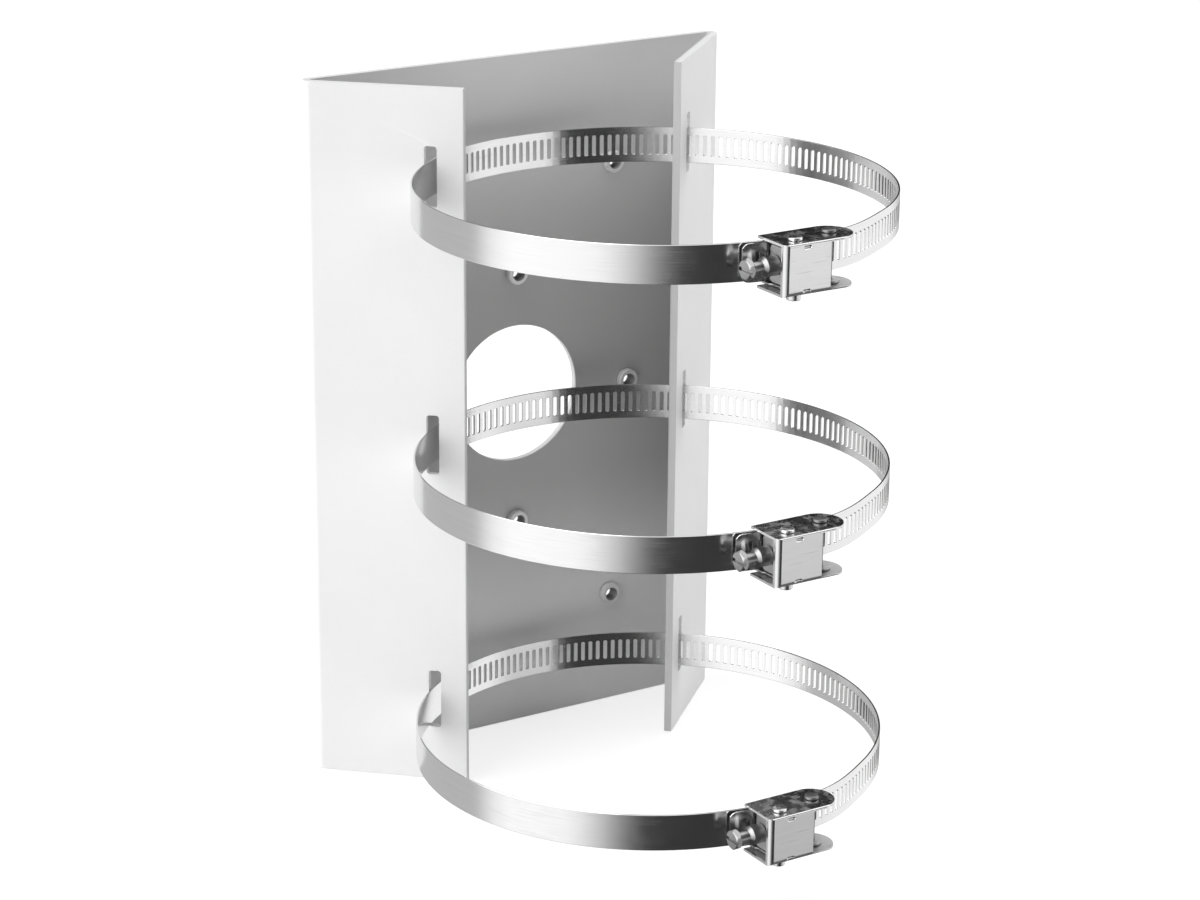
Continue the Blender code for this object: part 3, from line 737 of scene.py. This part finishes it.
class MESH_OT_mount_bracket(MountOperator, bpy.types.Operator):
    """Fold the sheet bracket, cut its slots and holes, and coat it"""
    bl_idname = "mesh.mount_bracket"
    bl_label = "Folded Bracket"

    def execute(self, context):
        layout = Layout(context)
        bracket = layout.bracket
        height = bracket.height
        fold_x = layout.fold_centre.x

        deselect()
        bpy.ops.mesh.primitive_plane_add(size=1, location=(fold_x / 2, 0, height / 2),
                                         rotation=(math.pi / 2, 0, 0))
        context.object.scale = (fold_x, height, 1)
        piece = named("folded_bracket")
        edit(piece)
        pick_edges(lambda co: co.x > fold_x - MERGE)
        bpy.ops.mesh.spin(steps=14, angle=math.pi - bracket.angle, center=layout.fold_centre,
                          axis=(0, 0, 1))
        extrude(layout.flange_length * layout.inward)
        merge_all()
        leave_edit()
        applied(piece, "MIRROR", use_clip=True, merge_threshold=MERGE)
        edit(piece)
        faced_outwards(piece)
        applied(piece, "SOLIDIFY", thickness=bracket.sheet, offset=0, use_even_offset=True)

        combined(piece, self.slot_cutter(layout))
        through = 2 * bracket.sheet
        middle = height / 2 + bracket.cable_rise
        bored(piece, (0, -through, middle), (0, through, middle), bracket.cable_hole, 96)
        for x, z in layout.nut_places():
            bored(piece, (x, -through, z), (x, through, z),
                  bracket.nut_shank + SEAT_GAP / 2, 32)
        shaded(rounded(piece, bracket.edge, 3))
        dressed(piece, powder_coat(layout), "mount", "bracket_paint", "bracket")
        return {"FINISHED"}

    @staticmethod
    def slot_cutter(layout):
        """Three blocks with rounded corners, square to the right flange, and their mirrors."""
        bracket = layout.bracket
        middle = layout.flange_start + layout.slot_along() * layout.inward
        half = Vector((bracket.slot_width, 4 * bracket.sheet, bracket.slot_height)) / 2
        cutter = add_block("slot_cutter", -half, half)
        edit(cutter)
        pick("EDGE", lambda edge: runs_along(edge, 1))
        bevel(bracket.slot_corner, 6)
        leave_edit()
        cutter.rotation_euler = (0, 0, bracket.angle)
        cutter.location = (middle.x, middle.y, layout.slot_heights[0])
        repeated(settled(cutter), 3, (0, 0, layout.band.spacing))
        return applied(cutter, "MIRROR")


class MESH_OT_mount_nuts(MountOperator, bpy.types.Operator):
    """Turn the clinch nuts, with their threads, and set them in the back plate"""
    bl_idname = "mesh.mount_nuts"
    bl_label = "Clinch Nuts"

    def execute(self, context):
        layout = Layout(context)
        bracket = layout.bracket
        face = layout.inner_y - SEAT_GAP
        front = face - bracket.nut_height
        back = bracket.sheet / 2 - SEAT_GAP
        bore, shank, collar = bracket.nut_bore, bracket.nut_shank, bracket.nut_radius
        threads, groove = 7, 0.0003
        pitch = (back - front - 2 * CHAMFER) / threads
        thread = []
        for number in range(threads):
            start = front + CHAMFER + number * pitch
            thread += [(bore + groove, start), (bore, start + pitch / 2)]
        profile = [(bore + groove, back), (shank, back), (shank, face), (collar, face),
                   (collar, front + CHAMFER), (collar - CHAMFER, front),
                   (bore + 2 * groove, front)] + thread
        model = spun("nut_pattern", [(radius, y, 0) for radius, y in profile + profile[:1]],
                     (0, 0, 0), (0, 1, 0), 32)
        shaded(rounded(model, 0.00008, 1, math.radians(50)))
        keep_places(model, "turned")

        def oiled(graph, place):
            """Painted shade inside the bore: the thread is painted darker."""
            radius = graph.node("ShaderNodeVectorMath", {"operation": "LENGTH"},
                                {0: graph.scaled(place, (1, 0, 1))}, output=1)
            return 0.3 + 0.7 * graph.step(radius, bore + 0.0004, bore + 0.0008), 0.0

        finish = steel("zinc_plated_nut", context.scene.mount_finish.nut, (900, 900, 900),
                       0.44, 0.3, 0.10, attribute="turned", marks_and_shade=oiled, metallic=0.35)
        for number, (x, z) in enumerate(layout.nut_places(), 1):
            copy = moved_copy(model, f"nut_{number}", (x, 0, z))
            dressed(copy, finish, "mount", "nut_steel", f"clinch_nut_{number}")
        bpy.data.objects.remove(model, do_unlink=True)
        return {"FINISHED"}


class MESH_OT_mount_bands(MountOperator, bpy.types.Operator):
    """Punch a straight strip, bend it to the ring and copy it to the three clamps"""
    bl_idname = "mesh.mount_bands"
    bl_label = "Perforated Bands"

    def execute(self, context):
        layout = Layout(context)
        strip = self.punched_strip(layout)
        keep_places(strip, "flat")
        self.bend(layout, strip)
        shaded(strip, math.radians(32))
        finish = steel("rolled_stainless_band", context.scene.mount_finish.band,
                       (40, 2500, 9000), 0.17, 0.5, attribute="flat")
        dressed_clamps(strip, "band", finish, "mount", "band_steel")
        return {"FINISHED"}

    @staticmethod
    def lengths(layout):
        """The strip's whole length, and where its first perforation starts."""
        band = layout.band
        whole = (2 * math.pi + band.tail + band.fixed_end) * band.radius
        return whole, whole - (band.slots + 1) * band.pitch

    def punched_strip(self, layout):
        band = layout.band
        half = Vector((band.pitch, band.sheet, band.width)) / 2
        strip = add_block("band_pattern", -half, half)
        edit(strip)
        pick("FACE", lambda face: abs(face.normal.x) > 0.9)
        bpy.ops.mesh.delete(type="ONLY_FACE")
        pick("FACE", lambda face: abs(face.normal.y) > 0.9)
        margin = (band.pitch - band.slot_width) / 2
        bpy.ops.mesh.inset(thickness=margin, use_boundary=True, use_individual=True)
        bpy.ops.transform.resize(
            value=(1, 1, band.slot_length / (band.width - 2 * margin)), center_override=(0, 0, 0))
        bpy.ops.mesh.bridge_edge_loops()
        slot_x, slot_z = band.slot_width / 2, band.slot_length / 2

        def round_slot(place):
            return abs(place.x) < slot_x + MERGE and abs(place.z) < slot_z + MERGE

        pick_edges(round_slot, axis=1)
        nearly_half = 0.46             # a half would close a perforation's ends on themselves
        bevel(band.slot_width * nearly_half, 4)
        pick_edges(round_slot, across=1)
        bevel(band.edge / 2, 1)
        pick_edges(lambda co: abs(co.z) > half.z - MERGE, axis=0)
        bevel(band.edge, 2)

        whole, first = self.lengths(layout)
        leave_edit()
        strip.location.x = first + slot_x
        repeated(settled(strip), band.slots, (band.pitch, 0, 0), use_merge_vertices=True,
                 merge_threshold=MERGE)

        edit(strip)
        start = first + slot_x - half.x
        pick_edges(lambda co: co.x < start + MERGE)
        plain_step = 0.004
        plain_steps = round(start / plain_step)
        for _ in range(plain_steps):
            extrude((-start / plain_steps, 0, 0))
        end = start + band.slots * band.pitch
        pick_edges(lambda co: co.x > end - MERGE)
        rounding = (whole - end) * 0.7
        extrude((whole - end - rounding, 0, 0))
        tip_taper, tip_sweep = 0.3, 0.97
        width = 1.0
        for before, after in ((0.0, 0.35), (0.35, 0.7), (0.7, 1.0)):
            extrude(((after - before) * rounding, 0, 0))
            narrower = 1 - tip_taper * (1 - math.sqrt(1 - (tip_sweep * after) ** 2))
            bpy.ops.transform.resize(value=(1, 1, narrower / width), center_override=(0, 0, 0))
            width = narrower
        for at_end in (lambda co: co.x < MERGE, lambda co: co.x > whole - MERGE):
            pick_edges(at_end)
            bpy.ops.mesh.edge_face_add()
        return faced_outwards(strip)

    @staticmethod
    def bend(layout, strip):
        band = layout.band
        steps = 720
        sweep = 2 * math.pi + band.tail + band.fixed_end
        line = bpy.data.curves.new("ring_line", "CURVE")
        line.dimensions = "2D"
        path = line.splines.new("POLY")
        path.points.add(steps)
        for number, point in enumerate(path.points):
            angle = sweep * number / steps - band.fixed_end
            point.co = (*layout.band_point(angle), 1)
        ring = bpy.data.objects.new("ring_line", line)
        bpy.context.scene.collection.objects.link(ring)
        applied(strip, "CURVE", object=ring, deform_axis="POS_X")
        bpy.data.objects.remove(ring, do_unlink=True)


class MESH_OT_mount_saddles(MountOperator, bpy.types.Operator):
    """Cut and fold the saddles that carry the housings"""
    bl_idname = "mesh.mount_saddles"
    bl_label = "Saddles"

    def execute(self, context):
        layout = Layout(context)
        clamp = layout.clamp
        model = plate("saddle_pattern", self.ear_outline(layout), -layout.ear_outer,
                      layout.ear_outer)
        above = self.ring_wall("saddle_above", layout, layout.saddle_outer, -FAR)
        below = self.ring_wall("saddle_below", layout, layout.saddle_inner, FAR)
        combined(model, above)
        combined(model, below)
        bored_for_pin(model, layout, clamp.pivot_x, layout.pivot_out)
        shaded(rounded(model, PRESSED_EDGE, 2))
        finish = steel("pressed_stainless_saddle", context.scene.mount_finish.saddle,
                       (60, 1800, 5200), 0.34, 0.4)
        dressed_clamps(model, "saddle", finish, "mount", "saddle_steel")
        return {"FINISHED"}

    @staticmethod
    def ear_outline(layout):
        """A saddle's side: a round ear for the pivot pin and a hooked seat for the latch."""
        clamp = layout.clamp
        corner, valley, steps = clamp.ear_corner, clamp.ear_valley, 4
        left, right = layout.hook_left, layout.hook_right
        seat = clamp.latch_out - clamp.pin_radius - SEAT_GAP
        seat_right = layout.latch_x + clamp.pin_radius + clamp.hook_width
        top = clamp.latch_out + clamp.hook_rise
        ear_left = clamp.pivot_x - clamp.ear_radius
        outline = [
            (layout.saddle_left, -clamp.ear_below), (layout.saddle_right, -clamp.ear_below),
            *arc(clamp.pivot_x, layout.pivot_out, clamp.ear_radius, 0, 180, 20),
            *reversed(arc(ear_left - corner, valley + corner, corner, -90, 0, steps)),
            (seat_right, valley),
            *arc(seat_right - corner, seat - corner, corner, 0, 90, steps),
            (right, seat), (right, top),
            *arc(left + corner, top - corner, corner, 90, 180, steps),
            (left, valley), (layout.saddle_left, valley - corner)]
        return [(x, -out) for x, out in outline]

    @staticmethod
    def ring_wall(name, layout, radius, depth):
        """A solid between the ears, from an arc of the ring to a depth beyond it."""
        reach = max(layout.saddle_right, -layout.saddle_left) + layout.clamp.saddle_sheet
        half = math.degrees(math.asin(reach / radius))
        curve = arc(0, layout.band.radius, radius, -90 - half, -90 + half, 16)
        outline = curve + [(curve[-1][0], depth), (curve[0][0], depth)]
        return plate(name, outline, -layout.ear_inner, layout.ear_inner)


class MESH_OT_mount_housings(MountOperator, bpy.types.Operator):
    """Press the swing housings, with their tongues, bearing tabs and pin holes"""
    bl_idname = "mesh.mount_housings"
    bl_label = "Swing Housings"

    def execute(self, context):
        layout = Layout(context)
        clamp = layout.clamp
        outer, inner = layout.housing_outer, layout.housing_inner
        web = -clamp.depth + clamp.housing_sheet
        model = self.solid(layout)
        combined(model, self.inside(layout))
        web_right = clamp.pivot_x - clamp.web_to_pivot
        combined(model, add_block("housing_open_end", (web_right, -FAR, -inner),
                                  (FAR, 0, inner)))
        tab_low = layout.tail_out + 2 * SEAT_GAP
        half = clamp.tab_half_width
        tab = add_block("bearing_tab", (layout.tab_x, web - clamp.housing_sheet / 2, -half),
                        (layout.tab_x + clamp.housing_sheet, -tab_low, half))
        edit(tab)
        pick_edges(lambda co: co.y > -tab_low - MERGE, axis=0)
        bevel(clamp.tab_corner, 5)
        combined(model, tab, "UNION")
        reach, radius = 1.9 * clamp.dimple, clamp.dimple
        front = -clamp.depth - radius + clamp.dimple_depth
        for z in (outer - clamp.dimple_inset, clamp.dimple_inset - outer):
            dimple = add_rod("dimple", (clamp.dimple_x - reach, front, z),
                             (clamp.dimple_x + reach, front, z), radius, 24)
            edit(dimple)
            pick("EDGE", lambda edge: not runs_along(edge, 0))
            bevel(0.7 * radius, 5)
            leave_edit()
            combined(model, dimple)
        bored(model, (-FAR, -layout.screw_out, 0), (layout.shoulder_left, -layout.screw_out, 0),
              clamp.neck + SEAT_GAP / 2)
        bored_for_pin(model, layout, clamp.pivot_x, layout.pivot_out)
        bored_for_pin(model, layout, layout.latch_x, clamp.latch_out)
        shaded(rounded(model, PRESSED_EDGE, 2))
        keep_places(model, "pressed")

        def handled(graph, place):
            """Smudges on the plates' outsides; painted shade and more roughness on the insides.
            """
            x, y, z = graph.parts(place)
            past_roll = clamp.housing_left + clamp.housing_sheet
            patches = graph.step(graph.noise(graph.coordinates(), 230, 3, 0.6), 0.44, 0.72)
            smudged = 0.20 * patches * graph.step(abs(z), outer - 0.0003, outer - 0.0001)
            # Painted shade darkens the inside faces of the web and plates, which are also made
            # rougher
            inside_shade = (graph.step(y, web - 0.0004, web - 0.0002)
                       * graph.step(x, past_roll - 0.0001, past_roll + 0.0002)
                       * (1 - graph.step(abs(z), inner + 0.0002, inner + 0.0004)))
            darker, duller = 0.30, 0.26
            return 1 - darker * inside_shade, smudged + duller * inside_shade

        finish = steel("pressed_stainless_housing", context.scene.mount_finish.housing,
                       (60, 2600, 2600), 0.20, 0.45, attribute="pressed", marks_and_shade=handled)
        dressed_clamps(model, "housing", finish, "{}_housing_body", "housing_steel")
        return {"FINISHED"}

    @staticmethod
    def solid(layout):
        """The housing's outside: square at one end but for the roll, round about the pivot."""
        clamp, outer = layout.clamp, layout.housing_outer
        left, depth, roll = clamp.housing_left, clamp.depth, clamp.roll
        end = arc(clamp.pivot_x, layout.pivot_out, layout.pivot_out, -90, 90, 24)
        outline = [(left, 0), *end, *arc(left + roll, depth - roll, roll, 90, 180, 12)]
        model = plate("housing_pattern", [(x, -out) for x, out in outline], -outer, outer)
        folds = add_block("housing_folds", (-FAR, -depth, -outer), (FAR, FAR, outer))
        edit(folds)
        for side, radius in ((1, clamp.upper_fold), (-1, clamp.housing_fold)):
            pick_edges(lambda co, side=side: co.y < MERGE - depth
                       and co.z * side > outer - MERGE, axis=0)
            bevel(radius, 8)
        return combined(model, folds, "INTERSECT")

    @staticmethod
    def inside(layout):
        """The space between the plates, behind the web and its rolled edge."""
        clamp, inner = layout.clamp, layout.housing_inner
        left, depth, roll = clamp.housing_left, clamp.depth, clamp.roll
        sheet = clamp.housing_sheet
        lip = depth - roll - clamp.roll_lip
        outline = [(FAR, -FAR), (FAR, depth - sheet),
                   *arc(left + roll, depth - roll, roll - sheet, 90, 180, 12),
                   (left + sheet, lip), (-FAR, lip), (-FAR, -FAR)]
        return plate("housing_inside", [(x, -out) for x, out in outline], -inner, inner)


class MESH_OT_mount_pins(MountOperator, bpy.types.Operator):
    """Turn the pivot pins and the latch pins"""
    bl_idname = "mesh.mount_pins"
    bl_label = "Pins"

    def execute(self, context):
        layout = Layout(context)
        clamp, finishes = layout.clamp, context.scene.mount_finish
        bright = steel("bright_latch_pin", finishes.pin, (1500, 1500, 300), 0.24, 0.3)
        dull = steel("dull_pivot_pin", finishes.rivet, (1100, 1100, 1100), 0.42, 0.6, 0.15)
        for part, x, out, foot, body, finish in (
                ("pivot_pin", clamp.pivot_x, layout.pivot_out, clamp.head_height, "mount",
                 dull),
                ("latch_pin", layout.latch_x, clamp.latch_out, clamp.latch_foot,
                 "{}_housing_body", bright)):
            model = self.turned_pin(layout, f"{part}_pattern", x, out, foot)
            dressed_clamps(model, part, finish, body, "pin_steel")
        return {"FINISHED"}

    @staticmethod
    def turned_pin(layout, name, x, out, foot):
        clamp = layout.clamp
        seat = layout.housing_outer + SEAT_GAP
        radius, head = clamp.pin_radius, clamp.head_radius
        top, bottom = seat + clamp.head_height, -seat - foot
        dome = 0.0005
        crown = [(head * math.cos(a), top - dome + dome * math.sin(a))
                 for a in (math.radians(step * 15) for step in range(6))]
        profile = [(0, top), *reversed(crown), (head, seat), (radius, seat), (radius, -seat),
                   (head, -seat), (head, bottom + dome / 2), (head - dome / 2, bottom),
                   (0, bottom)]
        model = spun(name, [(x + r, -out, z) for r, z in profile], (x, -out, 0), (0, 0, 1), 32)
        return shaded(model)


class MESH_OT_mount_screws(MountOperator, bpy.types.Operator):
    """Turn the worm screws, with their threads and slotted hexagon heads"""
    bl_idname = "mesh.mount_screws"
    bl_label = "Worm Screws"

    def execute(self, context):
        layout = Layout(context)
        model = self.turned_body(layout)
        combined(model, self.hexagon_head(layout), "UNION")
        head_left, out = layout.head_left, layout.screw_out
        clamp = layout.clamp
        combined(model, add_block(
            "driver_slot", (head_left - FAR, -out - clamp.head_across, -clamp.driver_width / 2),
            (head_left + clamp.driver_depth, clamp.head_across - out, clamp.driver_width / 2)))
        rounded(model, 0.0001, 2, math.radians(30))
        combined(model, self.thread(layout), "UNION")
        shaded(model)
        finish = steel("plated_screw", context.scene.mount_finish.screw, (900, 1500, 1500),
                       0.34, 0.3, 0.06)
        dressed_clamps(model, "screw", finish, "{}_screw_body", "screw_steel")
        return {"FINISHED"}

    @staticmethod
    def turned_body(layout):
        """Worm core, shoulder, neck, collar and shank, spun about the screw's axis."""
        clamp = layout.clamp
        root, outer = clamp.worm_root, clamp.collar
        left, right = layout.collar_left, layout.collar_right
        shank_end = layout.head_right - clamp.head_length / 4
        profile = [(layout.worm_right, 0), (layout.worm_right, root - CHAMFER),
                   (layout.worm_right - CHAMFER, root), (layout.worm_left + CHAMFER, root),
                   (layout.worm_left, root - CHAMFER), (layout.worm_left, clamp.neck),
                   (layout.shoulder_right, clamp.neck), (layout.shoulder_right, clamp.shoulder),
                   (layout.shoulder_left, clamp.shoulder), (layout.shoulder_left, clamp.neck),
                   (right, clamp.neck), (right, outer - CHAMFER), (right - CHAMFER, outer),
                   (left + 2 * CHAMFER, outer), (left, outer - 2 * CHAMFER),
                   (left, clamp.shank + CHAMFER), (left - CHAMFER, clamp.shank),
                   (shank_end, clamp.shank), (shank_end, 0)]
        out = layout.screw_out
        return spun("screw_pattern", [(x, -out, radius) for x, radius in profile],
                    (0, -out, 0), (1, 0, 0), 40)

    @staticmethod
    def hexagon_head(layout):
        """A hexagon whose corners a spun cone takes off at both ends."""
        clamp = layout.clamp
        out, left, right = layout.screw_out, layout.head_left, layout.head_right
        corner = clamp.head_across / math.sqrt(3)
        flat = clamp.head_across / 2
        head = add_rod("hexagon", (left, -out, 0), (right, -out, 0), corner, 6)
        slope, crown, past = 0.0009, 0.94 * flat, corner + 0.0001
        profile = [(left, 0), (left, crown), (left + slope, past), (right - slope, past),
                   (right, flat), (right, 0)]
        cone = spun("head_cone", [(x, -out, radius) for x, radius in profile],
                    (0, -out, 0), (1, 0, 0), 48)
        return combined(head, cone, "INTERSECT")

    @staticmethod
    def thread(layout):
        """The worm's helical ridge, kept inside the thread's outer radius."""
        clamp, pitch, out = layout.clamp, layout.band.pitch, layout.screw_out
        overlap = 0.0003
        sunk = clamp.worm_root - overlap
        base, tip = pitch * 0.29, pitch * 0.15     # half the ridge's width at root and crest
        length = layout.worm_right - layout.worm_left
        turns = (length - 2 * base) / pitch
        whole = math.floor(turns)
        start = (layout.worm_left + layout.worm_right - whole * pitch) / 2
        profile = [(start - base, sunk), (start - tip, clamp.worm),
                   (start + tip, clamp.worm), (start + base, sunk)]
        ridge = drawn_line("worm_thread", [(x, 0, radius) for x, radius in profile])
        bpy.ops.mesh.edge_face_add()
        bpy.ops.mesh.delete(type="ONLY_FACE")
        leave_edit()
        applied(ridge, "SCREW", axis="X", angle=2 * math.pi, screw_offset=pitch,
                iterations=whole, steps=36, render_steps=36, use_merge_vertices=False,
                use_normal_calculate=True)
        edit(ridge)
        select_all()
        bpy.ops.mesh.fill_holes(sides=8)
        faced_outwards(ridge)
        ridge.location = (0, -out, 0)
        return settled(ridge)


class SCENE_OT_mount_stage(MountOperator, bpy.types.Operator):
    """Set the floor, the studio light and the camera"""
    bl_idname = "scene.mount_stage"
    bl_label = "Studio Stage"

    def execute(self, context):
        self.set_floor(context)
        self.set_light(context)
        self.set_camera(context)
        view = context.scene.view_settings
        view.view_transform = "Standard"
        return {"FINISHED"}

    @staticmethod
    def set_floor(context):
        """A wide pale floor: the camera sees it white, with part of the object's shadow."""
        finishes = context.scene.mount_finish
        deselect()
        bpy.ops.mesh.primitive_plane_add(size=12, location=(0, 0, -SEAT_GAP))
        floor = named("studio_floor")
        material, graph = new_material("pale_floor")
        matt = graph.node("ShaderNodeBsdfDiffuse", sockets={"Color": (*finishes.floor, 1)})
        white = graph.node("ShaderNodeEmission", sockets={"Color": (1, 1, 1, 1),
                                                         "Strength": 1.2})
        seen = graph.node("ShaderNodeLightPath", output="Is Camera Ray")
        blend = graph.node("ShaderNodeMixShader", sockets={
            0: seen * (1 - finishes.shadow), 1: matt, 2: white})
        graph.node("ShaderNodeOutputMaterial", sockets={"Surface": blend})
        floor.data.materials.append(material)
        floor.visible_glossy = False

    @classmethod
    def set_light(cls, context):
        """Soft boxes left and right, dark cards in front and high behind, white overhead."""
        world = bpy.data.worlds.new("studio_walls")
        world.use_nodes = True
        context.scene.world = world
        graph = Graph(world.node_tree)
        x, y, z = graph.parts(graph.node("ShaderNodeTexCoord", output="Generated"))
        azimuth = x.maths("ARCTAN2", x, y * -1.0) * (180 / math.pi)
        card = (graph.step(azimuth - 88 * z, -38, 5.4)
                * (1 - graph.step(azimuth, 14, 21)))
        low = cls.round_wall(graph, azimuth, LOW_WALL) * (1 - CARD_DEPTH * card)
        low = low * (0.15 + 0.85 * graph.step(z, -0.60, -0.46))
        low = low * (1 - 0.42 * (graph.step(azimuth, 16, 24)
                                 * (1 - graph.step(azimuth, 42, 60))
                                 * (1 - graph.step(z, -0.44, -0.22))))
        high = cls.round_wall(graph, azimuth, HIGH_WALL)
        behind = graph.step(0.53 * x + 0.848 * y, 0.62, 0.80) * graph.step(z, 0.05, 0.13)
        high = high * (1 - CARD_DEPTH * behind)
        above = graph.step(z, -0.03, 0.05)
        level = low * (1 - above) + high * above
        level = graph.highest(level, graph.step(z, 0.75, 0.92) * OVERHEAD)
        seen = graph.node("ShaderNodeLightPath", output="Is Camera Ray")
        background = graph.node("ShaderNodeBackground", sockets={
            "Color": (1, 1, 1, 1), "Strength": level * (1 - seen) + seen})
        graph.node("ShaderNodeOutputWorld", sockets={"Surface": background})

    @staticmethod
    def round_wall(graph, azimuth, stops):
        """A level that changes with the azimuth."""
        return graph.node("ShaderNodeValToRGB", {
            "stops": [(0.5 + angle / 360, level) for angle, level in stops]},
            {"Fac": azimuth * (1 / 360) + 0.5})

    @staticmethod
    def set_camera(context):
        """The photograph's view, found by fitting a camera to the part's own corners."""
        target = Vector(CAMERA_TARGET)
        azimuth, elevation, roll = (
            math.radians(a) for a in (CAMERA_AZIMUTH, CAMERA_ELEVATION, CAMERA_ROLL))
        back = Vector((math.sin(azimuth) * math.cos(elevation),
                       -math.cos(azimuth) * math.cos(elevation), math.sin(elevation)))
        right = (-back).cross(Vector((0, 0, 1))).normalized()
        above = back.cross(right)
        camera_right = math.cos(roll) * right + math.sin(roll) * above
        camera_up = math.cos(roll) * above - math.sin(roll) * right
        data = bpy.data.cameras.new("studio_camera")
        data.lens = CAMERA_LENS
        data.sensor_width = CAMERA_SENSOR
        data.clip_start = 0.05
        camera = bpy.data.objects.new("studio_camera", data)
        context.scene.collection.objects.link(camera)
        turned = Matrix((camera_right, camera_up, back)).transposed().to_4x4()
        camera.matrix_world = Matrix.Translation(target + CAMERA_DISTANCE * back) @ turned
        context.scene.camera = camera


class VIEW3D_PT_pole_mount(bpy.types.Panel):
    """Lists the pieces of the bracket and their sizes"""
    bl_idname = "VIEW3D_PT_pole_mount"
    bl_label = "Pole Mount"
    bl_space_type = "VIEW_3D"
    bl_region_type = "UI"
    bl_category = "Pole Mount"

    def draw(self, context):
        column = self.layout.column()
        for operator in OPERATORS:
            column.operator(operator.bl_idname)
        for title, group in GROUPS.items():
            box = self.layout.box()
            settings = getattr(context.scene, title)
            for name in group.__annotations__:
                box.prop(settings, name)


GROUPS = {"mount_bracket": BracketSizes, "mount_band": BandSizes, "mount_clamp": ClampSizes,
          "mount_finish": MountFinishes}
OPERATORS = (SCENE_OT_mount_stage, MESH_OT_mount_bracket, MESH_OT_mount_nuts,
             MESH_OT_mount_bands, MESH_OT_mount_saddles, MESH_OT_mount_housings,
             MESH_OT_mount_pins, MESH_OT_mount_screws)
CLASSES = (*GROUPS.values(), *OPERATORS, VIEW3D_PT_pole_mount)


def register():
    for made in CLASSES:
        bpy.utils.register_class(made)
    for name, group in GROUPS.items():
        setattr(bpy.types.Scene, name, PointerProperty(type=group))


def unregister():
    for name in GROUPS:
        delattr(bpy.types.Scene, name)
    for made in reversed(CLASSES):
        bpy.utils.unregister_class(made)


def main():
    register()
    bpy.ops.scene.mount_stage()
    bpy.ops.mesh.mount_bracket()
    bpy.ops.mesh.mount_nuts()
    bpy.ops.mesh.mount_bands()
    bpy.ops.mesh.mount_saddles()
    bpy.ops.mesh.mount_housings()
    bpy.ops.mesh.mount_pins()
    bpy.ops.mesh.mount_screws()
    deselect()


if __name__ == "__main__":
    main()
